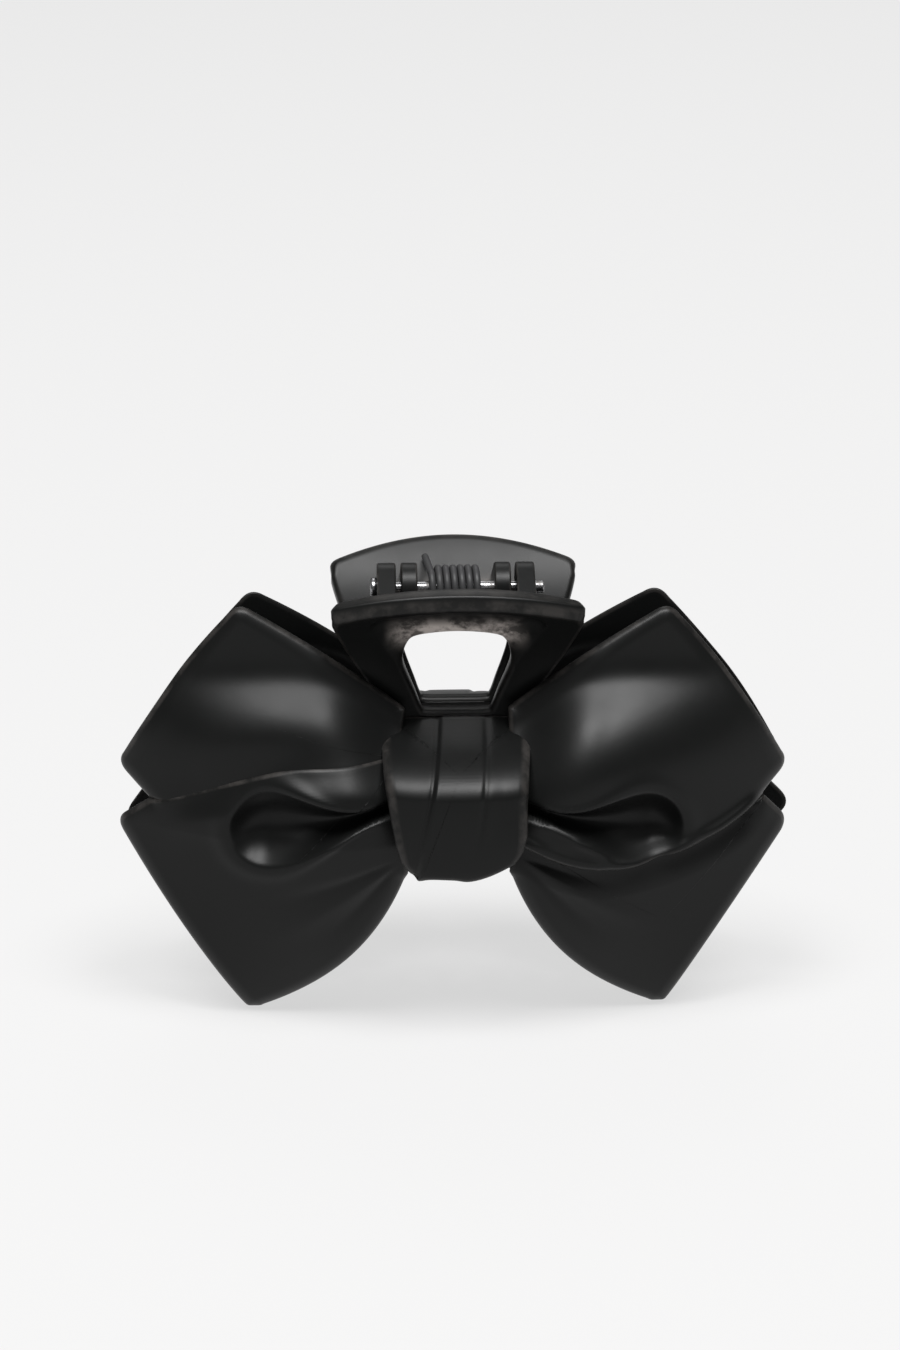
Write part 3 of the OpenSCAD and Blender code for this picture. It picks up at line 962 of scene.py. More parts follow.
@dataclass
class Lobe:
    """One loop or tail of a bow.

    Attributes:
        shape: The surface that it is part of.
        jaw: Its jaw.
        side: Its side, as on the front jaw.
        kind: "loop" or "tail".
        spokes: The number of points round its outline.
        rings: The number of rings on each face.
        roll_depth: How far its face rolls back at a free edge.
        roll_run: How far in from the edge it starts to roll.
        notch: Where loop and tail part at the side.
        free_edge: The outline that the roll follows, found when it is first needed.
    """

    shape: BowShape
    jaw: Jaw
    side: Side
    kind: str
    spokes: int = 300
    rings: int = 52
    roll_depth: float = 1.1
    roll_run: float = 2.6
    notch: tuple[float, float] = (49.2, 37.8)
    free_edge: Optional[Loop] = None

    def outline(self) -> Loop:
        """The outline of the lobe on the right, as x and z."""
        return self._loop_outline() if self.kind == "loop" else self._tail_outline()

    def _meeting(self) -> Loop:
        """The line where loop and tail meet, from the notch to the knot.

        Returns:
            The line, moved past itself where this lobe runs on under the other.
        """
        left = self.side is Side.LEFT
        line = (self.shape.fold_line if left else self.shape.hem_line)[::-1].copy()
        line = line[line[:, 0] >= self.shape.root_x]
        under = (self.kind == "loop") == left
        if under:
            tuck = 1.3 * ease((50.0 - line[:, 0]) / 5.0)
            line[:, 1] += -tuck if self.kind == "loop" else tuck
        return line

    def _loop_outline(self) -> Loop:
        """The outline of a loop on the right."""
        root = (self.shape.root_x, 53.0)
        if self.jaw is Jaw.REAR:
            peak, side = (32.8, 69.6), (53.2, 42.0)
        elif self.side is Side.LEFT:
            peak, side = (34.6, 70.8), (54.6, 43.0)
        else:
            peak, side = (33.6, 70.2), (53.8, 42.0)
        meeting = self._meeting()
        return np.vstack([
            meeting[::-1],
            corner(meeting[0], side, peak, 2.4),
            arc(toward(side, peak, 2.4), toward(peak, side, 3.0), -0.9),
            corner(side, peak, root, 3.0),
            arc(toward(peak, root, 3.0), root, -0.6),
        ])

    def _tail_outline(self) -> Loop:
        """The outline of a tail on the right."""
        foot_in, foot_out = (31.7, 0.0), (34.3, 0.0)
        root = (self.shape.root_x, 28.2)
        side, sag = ((55.0, 33.2), -0.1) if self.side is Side.LEFT else ((54.0, 32.0), 0.8)
        meeting = self._meeting()
        return np.vstack([
            meeting,
            arc(root, toward(foot_in, root, 0.6), -3.8),
            corner(root, foot_in, foot_out, 0.6),
            corner(foot_in, foot_out, side, 0.6),
            arc(toward(foot_out, side, 0.6), toward(side, foot_out, 2.4), sag),
            corner(foot_out, side, meeting[0], 2.4),
        ])

    def _free_edge(self) -> Loop:
        """The outline of loop and tail together on the right, run on behind the knot.

        Returns:
            The outline, without the stretches where loop and tail lie over each other.
        """
        loop, tail = (Lobe(self.shape, self.jaw, self.side, kind) for kind in ("loop", "tail"))
        root, (_, notch_z) = self.shape.root_x, self.notch
        upper = loop._loop_outline()[len(self.shape.hem_line) // 2:]
        upper = upper[(upper[:, 1] > notch_z + 1.2) & (upper[:, 0] > root + 0.01)]
        upper = upper[(upper[:, 1] > notch_z + 9.8) | (upper[:, 0] > 50.0)]
        lower = tail._tail_outline()
        lower = lower[(lower[:, 1] < 28.1) | (lower[:, 0] > 51.0)]
        lower = lower[lower[:, 1] < notch_z - 1.3]
        return np.vstack([[(0.0, 22.0)], lower, [self.notch], upper, [(0.0, 58.0)]])

    def _outer(self, x: np.ndarray, z: np.ndarray) -> np.ndarray:
        """Depth of the lobe's outer face."""
        rule = self.shape.loop if self.kind == "loop" else self.shape.tail
        if self.free_edge is None:
            self.free_edge = self._free_edge()
        inside = depth_inside(np.abs(x), z, self.free_edge)
        roll = self.roll_depth * (1.0 - np.clip(inside / self.roll_run, 0.0, 1.0)) ** 2
        return rule(x, z, self.side) - roll

    def _inner(self, x: np.ndarray, z: np.ndarray, outer: np.ndarray) -> np.ndarray:
        """Depth of the lobe's inner face behind its outer one."""
        return np.minimum(self.shape.base(x, z) - self.shape.wall, outer - 1.2)

    def _lay(self, loop: Loop, share: np.ndarray) -> np.ndarray:
        """Lays the outline on the right at shares of the way through the wall."""
        x, z = self.side.value * loop[:, 0], loop[:, 1]
        outer = self._outer(x, z)
        inner = self._inner(x, z, outer)
        return self.jaw.place(x, outer + (inner - outer) * share, z)

    def _wall(self, loop: Loop) -> np.ndarray:
        """The lobe's thickness at places of the outline on the right."""
        x, z = self.side.value * loop[:, 0], loop[:, 1]
        outer = self._outer(x, z)
        return outer - self._inner(x, z, outer)

    def build(self, finishes: Finishes) -> bpy.types.Object:
        """Builds and dresses the lobe.

        Args:
            finishes: The clip's materials.

        Returns:
            The finished piece.
        """
        node = f"{self.jaw.label}_{self.side.seen_on(self.jaw)}_{self.kind}"
        tail_z = 24.0 if self.side is Side.LEFT else 18.0
        centre = (34.5, 54.2) if self.kind == "loop" else (33.0, tail_z)
        sheet = Sheet(self._lay, self._wall, 0.85)
        shape = sheet.over(evenly(self.outline(), self.spokes), centre, self.rings)
        piece = make_object(f"{node}_shell", shape)
        dress(piece, finishes.plastic, Slot.PLASTIC, self.jaw.body, node)
        return piece


# ---- The knot and the thumb tab ----


@dataclass
class SideView:
    """A bent wall seen from the side, as a front curve and a back curve.

    Attributes:
        front: The front curve, as rows of depth and height.
        back: The back curve, with as many rows.
        run_on: How far both curves run on straight past their ends.
    """

    front: Loop
    back: Loop
    run_on: float = 3.0

    def __post_init__(self) -> None:
        """Runs both curves on past their ends and measures along the front one."""
        for name in ("front", "back"):
            curve = getattr(self, name)
            first = toward(curve[0], curve[1], -self.run_on)
            last = toward(curve[-1], curve[-2], -self.run_on)
            setattr(self, name, np.vstack([first, curve, last]))
        steps = np.linalg.norm(np.diff(self.front, axis=0), axis=1)
        self.along = np.append(0.0, np.cumsum(steps)) - self.run_on

    def run_at(self, z: np.ndarray) -> np.ndarray:
        """How far along the front curve a height is reached."""
        order = np.argsort(self.front[:, 1])
        return np.interp(z, self.front[order, 1], self.along[order])

    def height_at(self, run: np.ndarray) -> np.ndarray:
        """The height of the front curve at a run along it."""
        return np.interp(run, self.along, self.front[:, 1])

    def through(self, run: np.ndarray, share: np.ndarray) -> tuple[np.ndarray, np.ndarray]:
        """Places at runs along the wall and shares of the way through it.

        Args:
            run: Runs along the front curve.
            share: Shares of the way from the front curve to the back one.

        Returns:
            The places' depths and heights.
        """
        ends = []
        for k in (0, 1):
            front = np.interp(run, self.along, self.front[:, k])
            back = np.interp(run, self.along, self.back[:, k])
            ends.append(front + (back - front) * share)
        return ends[0], ends[1]

    def thickness(self, run: np.ndarray) -> np.ndarray:
        """The wall's thickness at runs along it."""
        front, back = self.through(run, 0.0 * run), self.through(run, 0.0 * run + 1.0)
        return np.hypot(front[0] - back[0], front[1] - back[1])


@dataclass
class KnotBand:
    """The band that wraps the middle of the bow, creased into three strips.

    Attributes:
        jaw: Its jaw.
        depth: Depth of its front.
        top: Height at which it leaves the thumb tab's neck.
        bottom: Height of its lower edge.
        left_edge: Its left edge, as height and distance from the middle.
        right_edge: Its right edge, in the same way.
        creases: Each crease's line, in the same way, with its depth.
    """

    jaw: Jaw
    depth: float
    top: float
    bottom: float
    left_edge: tuple[tuple[float, float], ...] = (
        (28.2, -8.6), (29.8, -9.3), (33.0, -10.1), (37.0, -10.8), (42.0, -11.4), (46.0, -11.9),
        (51.0, -12.2))
    right_edge: tuple[tuple[float, float], ...] = (
        (28.2, 7.4), (30.1, 8.6), (32.6, 10.1), (35.0, 10.6), (41.0, 10.6), (46.0, 11.0),
        (51.0, 11.9))
    step_line: tuple[tuple[float, float], ...] = (
        (28.0, -7.1), (30.7, -6.6), (37.2, -5.4), (47.4, -3.4), (51.0, -2.6))
    crease_line: tuple[tuple[float, float], ...] = (
        (28.0, 1.6), (34.6, 2.5), (38.5, 3.3), (47.3, 4.3), (51.0, 4.8))

    def side_view(self) -> SideView:
        """The band from the side."""
        out, low = self.depth, self.bottom
        front = np.vstack([
            bend((3.0, self.top + 0.2), (out - 2.6, self.top - 2.9), (out - 0.8, self.top - 8.0),
                 24)[:-1],
            bend((out - 0.8, self.top - 8.0), (out, self.top - 12.5), (out, low + 6.0), 16)[:-1],
            bend((out, low + 6.0), (out, low + 1.2), (out - 2.6, low - 0.1), 14),
        ])
        back = np.vstack([
            bend((1.9, self.top - 0.6), (out - 4.2, low + 17.0), (out - 4.2, low + 10.0), 40)[:-1],
            bend((out - 4.2, low + 10.0), (out - 4.2, low + 5.0), (out - 4.2, low + 2.0), 14),
        ])
        return SideView(front, back)

    def lowered(self, x: np.ndarray, z: np.ndarray) -> np.ndarray:
        """How far the band's face lies below its crown.

        Args:
            x: Distances to the right of the middle.
            z: Heights.

        Returns:
            The depth to take away at each place.
        """
        edges = [np.interp(z, *np.array(line).T) for line in (self.left_edge, self.right_edge)]
        middle, half = (edges[0] + edges[1]) / 2, (edges[1] - edges[0]) / 2
        across = np.clip(np.abs(x - middle) / half, 0.0, 1.2)
        step = x - np.interp(z, *np.array(self.step_line).T)
        crease = x - np.interp(z, *np.array(self.crease_line).T)
        fading = ease((z - self.bottom - 4.0) / 8.0)
        left = 0.55 * (1.0 - ease(step / 0.9 + 0.5)) + 0.28 * hump((step + 0.25) / 0.45)
        right = (0.32 * hump(crease / 0.5) + 0.25 * ease(crease / 3.0)) * fading
        return 1.5 * across**3 + left + right

    def _lay(self, loop: Loop, share: np.ndarray, view: SideView) -> np.ndarray:
        """Lays pattern points, as x and run, at shares of the way through the band."""
        thick = view.thickness(loop[:, 1])
        sunk = self.lowered(loop[:, 0], view.height_at(loop[:, 1])) / thick
        depth, z = view.through(loop[:, 1], sunk + share * (1.0 - sunk))
        return self.jaw.place(loop[:, 0], depth, z)

    def build(self, finishes: Finishes) -> bpy.types.Object:
        """Builds and dresses the knot.

        Args:
            finishes: The clip's materials.

        Returns:
            The finished piece.
        """
        view = self.side_view()
        z = np.linspace(self.bottom + 2.6, self.top, 30)
        left, right = (np.interp(z, *np.array(line).T) for line in (self.left_edge, self.right_edge))
        run = view.run_at(z)
        low_run = view.run_at(np.array([self.bottom + 0.4]))[0]
        outline = np.vstack([
            smooth_line([(left[0], run[0]), (-7.0, low_run + 0.5), (-4.6, low_run - 0.6),
                         (-1.2, low_run - 0.6), (2.0, low_run - 0.2), (right[0], run[0])]),
            np.stack([right, run], axis=1),
            np.stack([left, run], axis=1)[::-1],
        ])
        sheet = Sheet(lambda loop, share: self._lay(loop, share, view),
                      lambda loop: view.thickness(loop[:, 1]), 1.7)
        centre = (0.0, float((run[0] + run[-1]) / 2))
        shape = sheet.over(evenly(outline, 260), centre, 60)
        piece = make_object(f"{self.jaw.label}_knot_band", shape)
        dress(piece, finishes.plastic, Slot.PLASTIC, self.jaw.body, f"{self.jaw.label}_knot")
        return piece


@dataclass
class ThumbTab:
    """The flared tab that a thumb presses, with its window, scoop and pin ears.

    Attributes:
        jaw: Its jaw.
        pin_z: Height of the pin's axis.
        bore: Radius of its pin bore.
        ear: Distance of each ear's inner face from the middle and its thickness.
        lip_half: Half the tab's width at its lip.
        neck_half: Half its width at its neck.
        neck_z: Height of the neck.
        ear_r: Radius of the ears round the pin.
        bare: How much more than an edge the coat is lightened over the window, a painted sheen band.
        bare_z: Height of the middle of that painted sheen band.
        nose: Section of the lip's end, as how far out and what share of the way through.
    """

    jaw: Jaw
    pin_z: float
    bore: float
    ear: tuple[float, float]
    lip_half: float = 19.8
    neck_half: float = 10.2
    neck_z: float = 51.0
    ear_r: float = 4.0
    bare: float = 40.0
    bare_z: float = 65.9
    nose: tuple[tuple[float, float], ...] = (
        (-0.30, 0.0), (0.0, 0.02), (0.25, 0.10), (0.75, 0.30), (1.08, 0.44),
        (1.2, 0.52), (1.05, 0.60), (0.6, 0.78), (0.15, 0.94), (-0.15, 0.995))

    def side_view(self) -> SideView:
        """The tab from the side."""
        front = bend((4.5, 51.0), (5.0, 63.5), (16.9, 72.2), 60)
        back = bend((1.8, 51.0), (2.9, 65.6), (14.3, 75.1), 60)
        return SideView(front, back)

    def scoop_outline(self) -> Loop:
        """The outline of the scooped part of the tab's front, as x and z."""
        right = [(6.2, 50.0), (7.0, 54.0), (10.3, 61.5), (13.2, 66.3), (13.6, 68.4), (12.0, 69.9),
                 (6.5, 71.1), (0.0, 71.6)]
        return smooth_line(right + [(-x, z) for x, z in right[-2::-1]], 5)

    def window_outline(self) -> Loop:
        """The outline of the window, as x and z."""
        right = [(0.0, 51.5), (4.7, 51.55), (5.6, 52.1), (6.6, 54.6), (7.7, 57.2), (8.4, 59.2),
                 (8.5, 60.8), (8.0, 62.6), (6.8, 64.0), (4.0, 64.7), (0.0, 65.0)]
        return smooth_line(right + [(-x, z) for x, z in right[-2::-1]], 6)[:-1]

    def outline(self) -> Loop:
        """The tab's outline, as x and z."""
        low_z, lip_z = 69.4, 72.2
        half = self.lip_half
        shoulder, end = (half - 0.1, low_z - 1.9), (half - 1.9, low_z + 0.15)
        side = np.vstack([
            [(self.neck_half, self.neck_z - 1.2)],
            bend((self.neck_half, self.neck_z), (half - 2.5, self.neck_z + 8.8), shoulder, 24),
            bend(shoulder, (half, low_z - 0.4), end, 8),
        ])
        lip = arc(end, (-end[0], end[1]), end[1] - lip_z, 40)
        return np.vstack([side, lip[1:-1], side[::-1] * (-1, 1)])

    def _lay(self, loop: Loop, share: np.ndarray, view: SideView, scoop: Loop) -> np.ndarray:
        """Lays pattern points, as x and run, at shares of the way through the tab."""
        z = view.height_at(loop[:, 1])
        inside = np.maximum(depth_inside(loop[:, 0], z, scoop), 0.0)
        ramp = 1.0 - (1.0 - np.clip(inside / 4.2, 0.0, 1.0)) ** 2
        ledge = 0.45 * ease(inside / 0.6) * ease((z - 66.0) / 3.0)
        sunk = 1.35 * ramp * ease((z - 50.5) / 7.0) + ledge
        sunk = sunk / view.thickness(loop[:, 1])
        depth, height = view.through(loop[:, 1], sunk + share * (1.0 - sunk))
        return self.jaw.place(loop[:, 0], depth, height)

    def _ear(self, view: SideView, side: Side) -> Mesh:
        """One ear round the pin, joined to the back of the tab.

        Args:
            view: The tab from the side.
            side: The side that the ear is on.

        Returns:
            The ear's mesh.
        """
        back = view.back[(view.back[:, 1] > self.pin_z - 9.0) & (view.back[:, 1] < self.pin_z - 0.5)]
        bed = back + (0.7, 0.0)
        lean = math.radians(30.0)
        points = np.vstack([
            [(self.ear_r * math.sin(lean), self.pin_z + self.ear_r * math.cos(lean) - 0.01)],
            bed[::-1],
            [(-0.8 * self.ear_r, self.pin_z - 0.6 * self.ear_r)],
        ])
        centre = np.array([0.0, self.pin_z])
        count = 120
        rim = by_angle(points, centre, count)
        spoke = rim - centre
        length = np.linalg.norm(spoke, axis=1, keepdims=True)
        rim = centre + spoke / length * np.maximum(length, self.ear_r)
        turn = np.linspace(0.0, math.tau, count, endpoint=False)
        hole = centre + self.bore * np.stack([np.cos(turn), np.sin(turn)], axis=1)
        inner, thick = self.ear
        start = side.value * inner if side is Side.RIGHT else side.value * (inner + thick)
        sheet = Sheet(
            lambda loop, share: self.jaw.place(start + thick * share, loop[:, 0], loop[:, 1]),
            lambda loop: np.full(len(loop), thick), 0.35,
        )
        return sheet.between(hole, rim, 8)

    def build(self, finishes: Finishes) -> bpy.types.Object:
        """Builds and dresses the tab.

        Args:
            finishes: The clip's materials.

        Returns:
            The finished piece.
        """
        view = self.side_view()
        scoop = self.scoop_outline()
        rays = 360
        flat = []
        for outline in (self.window_outline(), self.outline()):
            flat.append(np.stack([outline[:, 0], view.run_at(outline[:, 1])], axis=1))
        centre = (0.0, float(view.run_at(np.array([59.5]))[0]))
        hole, rim = (by_angle(points, centre, rays) for points in flat)
        sheet = Sheet(lambda loop, share: self._lay(loop, share, view, scoop),
                      lambda loop: view.thickness(loop[:, 1]), 0.9, nose=self.nose)
        shape = sheet.between(hole, rim, 44)
        out, z = np.abs(shape.points[:, 0]), shape.points[:, 2]
        # Painted sheen: a light warm band across the tab over the window, raised through the wear level
        # so the coat takes its light warm colour there.
        bare = hump((z - self.bare_z) / 2.0) * ease((12.0 - out) / 6.0)
        shape.rub[:] = np.maximum(shape.rub, self.bare * bare)
        for side in Side:
            shape = shape.joined(self._ear(view, side))
        piece = make_object(f"{self.jaw.label}_thumb_tab_moulding", shape)
        dress(piece, finishes.plastic, Slot.PLASTIC, self.jaw.body, f"{self.jaw.label}_thumb_tab")
        return piece


# ---- The comb ----


def run_nodes(piece: bpy.types.Object, tree: bpy.types.NodeTree, values: dict[str, object]) -> None:
    """Runs a geometry node tree on a piece and keeps the result as its plain mesh.

    Args:
        piece: The piece whose mesh goes in.
        tree: The node tree.
        values: The tree's inputs, by name.
    """
    modifier = piece.modifiers.new("shape", "NODES")
    modifier.node_group = tree
    sockets = {item.name: item.identifier for item in tree.interface.items_tree
               if item.item_type == "SOCKET" and item.in_out == "INPUT"}
    for name, value in values.items():
        modifier[sockets[name]] = value
    graph = bpy.context.evaluated_depsgraph_get()
    graph.update()
    made = bpy.data.meshes.new_from_object(piece.evaluated_get(graph))
    piece.modifiers.remove(modifier)
    old = piece.data
    piece.data = made
    bpy.data.meshes.remove(old)


def tooth_row_tree() -> bpy.types.NodeTree:
    """Builds the tree that puts a comb's teeth along its bar.

    Returns:
        The tree. It takes one point for each tooth's tip, with its length as a share of the
        sample tooth's in the attribute "reach".
    """
    tree = bpy.data.node_groups.new("comb_tooth_row", "GeometryNodeTree")
    add_socket(tree, "Geometry", "NodeSocketGeometry")
    add_socket(tree, "Tooth", "NodeSocketObject")
    add_socket(tree, "Tooth Width", "NodeSocketFloat", default=1.0)
    add_socket(tree, "Material", "NodeSocketMaterial")
    add_socket(tree, "Geometry", "NodeSocketGeometry", output=True)
    bench = NodeBench(tree)
    given = bench.add("NodeGroupInput").outputs
    tooth = bench.add("GeometryNodeObjectInfo", Object=given["Tooth"]).outputs["Geometry"]
    reach = bench.add("GeometryNodeInputNamedAttribute", {"data_type": "FLOAT"},
                      Name="reach").outputs["Attribute"]
    scale = bench.add("ShaderNodeCombineXYZ", X=given["Tooth Width"], Y=reach, Z=1.0)
    points = bench.add("GeometryNodeMeshToPoints", Mesh=given["Geometry"]).outputs[0]
    row = bench.add("GeometryNodeInstanceOnPoints", Points=points, Instance=tooth,
                    Scale=scale.outputs[0]).outputs[0]
    real = bench.add("GeometryNodeRealizeInstances", Geometry=row).outputs[0]
    dressed = bench.add("GeometryNodeSetMaterial", Geometry=real, Material=given["Material"])
    result = bench.add("NodeGroupOutput")
    tree.links.new(dressed.outputs[0], result.inputs["Geometry"])
    return tree


@dataclass
class Comb:
    """The toothed bar behind the knot that holds the hair.

    Attributes:
        jaw: Its jaw.
        shape: The bow's surface, which the bar follows.
        bar_z: Heights of the bar's lower and upper edges.
        bar_t: Its thickness.
        bar_half: Half its length.
        gap: The gap between the bar and the bow.
        knot_back: Depth of the knot's back.
        pad_z: Height of the middle of the pad behind the knot.
        pad_half: Half the pad's width and half its height.
        count: The number of teeth.
        pitch: The distance between teeth.
        tooth_w: The width of a tooth.
        past: How far the teeth reach past the middle plane.
        fall: Height of the teeth's tips.
    """

    jaw: Jaw
    shape: BowShape
    bar_z: tuple[float, float] = (28.0, 31.4)
    bar_t: float = 2.2
    bar_half: float = 32.6
    gap: float = 0.5
    knot_back: float = 19.3
    pad_z: float = 31.7
    pad_half: tuple[float, float] = (7.0, 1.7)
    count: int = 9
    pitch: float = 7.2
    tooth_w: float = 2.0
    past: float = 2.0
    fall: float = 23.4

    def front_at(self, x: np.ndarray) -> np.ndarray:
        """Depth of the bar's front face at distances x from the middle."""
        out = np.maximum(np.abs(x), self.shape.root_x)
        bow = self.shape.base(out, np.full(np.shape(x), self.bar_z[0]))
        return bow - self.shape.wall - self.gap

    def _bar(self) -> Mesh:
        """The bar, with rounded edges and ends."""
        u, v = soft_square(0.35)
        low, high = self.bar_z
        loops, rubs = [], []
        for x in np.linspace(-self.bar_half, self.bar_half, 80):
            end = min(self.bar_half - abs(x), 1.0)
            size = 0.55 + 0.45 * math.sqrt(1 - (1 - end) ** 2)
            depth = self.front_at(np.array([x]))[0] - self.bar_t / 2
            loops.append(self.jaw.place(np.full(len(u), x), depth + u * self.bar_t / 2 * size,
                                        (low + high) / 2 + v * (high - low) / 2 * size))
            rubs.append(0.2)
        return loft(loops, rubs, ring=False)

    def _pad(self) -> Mesh:
        """The pad that joins the bar to the back of the knot."""
        u, v = soft_square(0.3)
        half_w, half_h = self.pad_half
        start = self._roots(np.array([0.0]))[0]
        loops = []
        for depth in np.linspace(start, self.knot_back + 0.3, 8):
            height = self.pad_z + half_h * v
            loops.append(self.jaw.place(half_w * u, np.full(len(u), depth), height))
        return loft(loops, [0.0] * len(loops), ring=False)

    def _sample_tooth(self) -> Mesh:
        """The tooth in the middle of the bar, with its tip at the origin's depth."""
        root = self._roots(np.array([0.0]))[0]
        low, high = self.bar_z
        upper = bend((root, high - 0.2), (0.35 * root, high), (-self.past, self.fall + 1.1), 24)
        lower = bend((-self.past, self.fall), (0.3 * root, low - 0.5), (root, low + 0.2), 24)
        outline = np.vstack([upper, lower])
        outline[:, 0] += self.past
        half = self.tooth_w / 2
        sheet = Sheet(
            lambda loop, share: np.stack([half - 2 * half * share, -loop[:, 0], loop[:, 1]], axis=1),
            lambda loop: np.full(len(loop), self.tooth_w), 0.45,
        )
        return sheet.over(evenly(outline, 90), (0.62 * (root + self.past), 28.6), 6)

    def _roots(self, x: np.ndarray) -> np.ndarray:
        """Depths of the teeth's roots, in the middle of the bar."""
        return self.front_at(x) - self.bar_t / 2

    def build(self, finishes: Finishes) -> bpy.types.Object:
        """Builds and dresses the comb.

        Args:
            finishes: The clip's materials.

        Returns:
            The finished piece.
        """
        name = f"{self.jaw.label}_comb"
        tooth = make_object(f"{name}_sample_tooth", self._sample_tooth())
        xs = (np.arange(self.count) - (self.count - 1) / 2) * self.pitch + self.pitch / 4
        roots = self._roots(xs)
        full = self._roots(np.array([0.0]))[0] + self.past
        tips = np.stack([xs, np.full(self.count, self.past), np.zeros(self.count)], axis=1)
        data = bpy.data.meshes.new(f"{name}_teeth")
        data.from_pydata((tips * MM).tolist(), [], [])
        reach = data.attributes.new("reach", "FLOAT", "POINT")
        reach.data.foreach_set("value", ((roots + self.past) / full).astype(np.float32))
        teeth = bpy.data.objects.new(f"{name}_teeth", data)
        bpy.context.scene.collection.objects.link(teeth)
        tree = shared_group("comb_tooth_row", tooth_row_tree)
        run_nodes(teeth, tree, {"Tooth": tooth, "Tooth Width": 1.0, "Material": finishes.plastic})
        if self.jaw is Jaw.REAR:
            half_turn(teeth.data)
        bpy.data.objects.remove(tooth)
        piece = make_object(f"{name}_moulding", self._bar().joined(self._pad()))
        piece.data.materials.append(finishes.plastic)
        join_into(piece, teeth)
        dress(piece, finishes.plastic, Slot.PLASTIC, self.jaw.body, name)
        return piece


def half_turn(data: bpy.types.Mesh) -> None:
    """Turns a mesh half round the clip's upright axis."""
    data.transform(Matrix.Rotation(math.pi, 4, "Z"))
    data.update()


def join_into(piece: bpy.types.Object, other: bpy.types.Object) -> None:
    """Moves another object's mesh into a piece and removes the object.

    Args:
        piece: The piece that is kept.
        other: The object that goes into it.
    """
    work = bmesh.new()
    work.from_mesh(piece.data)
    work.from_mesh(other.data)
    work.to_mesh(piece.data)
    work.free()
    bpy.data.objects.remove(other)


# ---- The hinge ----


@dataclass
class HingePin:
    """The headed pin that both jaws turn on.

    Attributes:
        low: The lowest corner of the room that it takes up.
        high: The highest corner of that room.
        head_t: Length of its head.
        pin_r: Radius of its shank.
    """

    low: np.ndarray
    high: np.ndarray
    head_t: float = 1.1
    pin_r: float = 1.0

    def build(self, finishes: Finishes) -> bpy.types.Object:
        """Builds and dresses the pin.

        Args:
            finishes: The clip's materials.

        Returns:
            The finished piece.
        """
        start, end = self.low[0], self.high[0]
        axis_z = (self.low[2] + self.high[2]) / 2
        head_r = (self.high[2] - self.low[2]) / 2
        face = start + self.head_t
        rows = [(start, 0.62 * head_r, 0.1), (start + 0.06, 0.8 * head_r, 0.4),
                (start + 0.2, 0.94 * head_r, 0.9), (start + 0.42, head_r, 0.6),
                (face - 0.12, head_r, 0.6), (face, head_r - 0.12, 0.4), (face, self.pin_r + 0.02, 0.0)]
        rows += [(x, self.pin_r, 0.0) for x in np.linspace(face + 0.03, end - 0.3, 24)]
        rows += [(end - 0.16, 0.97 * self.pin_r, 0.5), (end - 0.04, 0.84 * self.pin_r, 0.9),
                 (end, 0.6 * self.pin_r, 0.3)]
        turn = np.linspace(0.0, math.tau, 48, endpoint=False)
        loops = []
        for x, r, _ in rows:
            loops.append(np.stack([np.full(48, x), r * np.cos(turn), axis_z + r * np.sin(turn)], axis=1))
        piece = make_object("hinge_pin_turned", loft(loops, [row[2] for row in rows], ring=False))
        dress(piece, finishes.pin, Slot.PIN, Jaw.FRONT.body, "hinge_pin")
        return piece


def wound_wire_tree() -> bpy.types.NodeTree:
    """Builds the tree that sweeps a round wire along a line of edges.

    Returns:
        The tree.
    """
    tree = bpy.data.node_groups.new("wound_wire", "GeometryNodeTree")
    add_socket(tree, "Geometry", "NodeSocketGeometry")
    add_socket(tree, "Wire Radius", "NodeSocketFloat", default=0.0005)
    add_socket(tree, "Sides", "NodeSocketInt")
    add_socket(tree, "Material", "NodeSocketMaterial")
    add_socket(tree, "Geometry", "NodeSocketGeometry", output=True)
    bench = NodeBench(tree)
    given = bench.add("NodeGroupInput").outputs
    path = bench.add("GeometryNodeMeshToCurve", Mesh=given["Geometry"]).outputs[0]
    ring = bench.add("GeometryNodeCurvePrimitiveCircle", Resolution=given["Sides"],
                     Radius=given["Wire Radius"]).outputs[0]
    swept = bench.add("GeometryNodeCurveToMesh", Curve=path)
    swept.inputs["Fill Caps"].default_value = True
    tree.links.new(ring, swept.inputs["Profile Curve"])
    smooth = bench.add("GeometryNodeSetShadeSmooth", Geometry=swept.outputs[0]).outputs[0]
    real = bench.add("GeometryNodeRealizeInstances", Geometry=smooth).outputs[0]
    dressed = bench.add("GeometryNodeSetMaterial", Geometry=real, Material=given["Material"])
    result = bench.add("NodeGroupOutput")
    tree.links.new(dressed.outputs[0], result.inputs["Geometry"])
    return tree


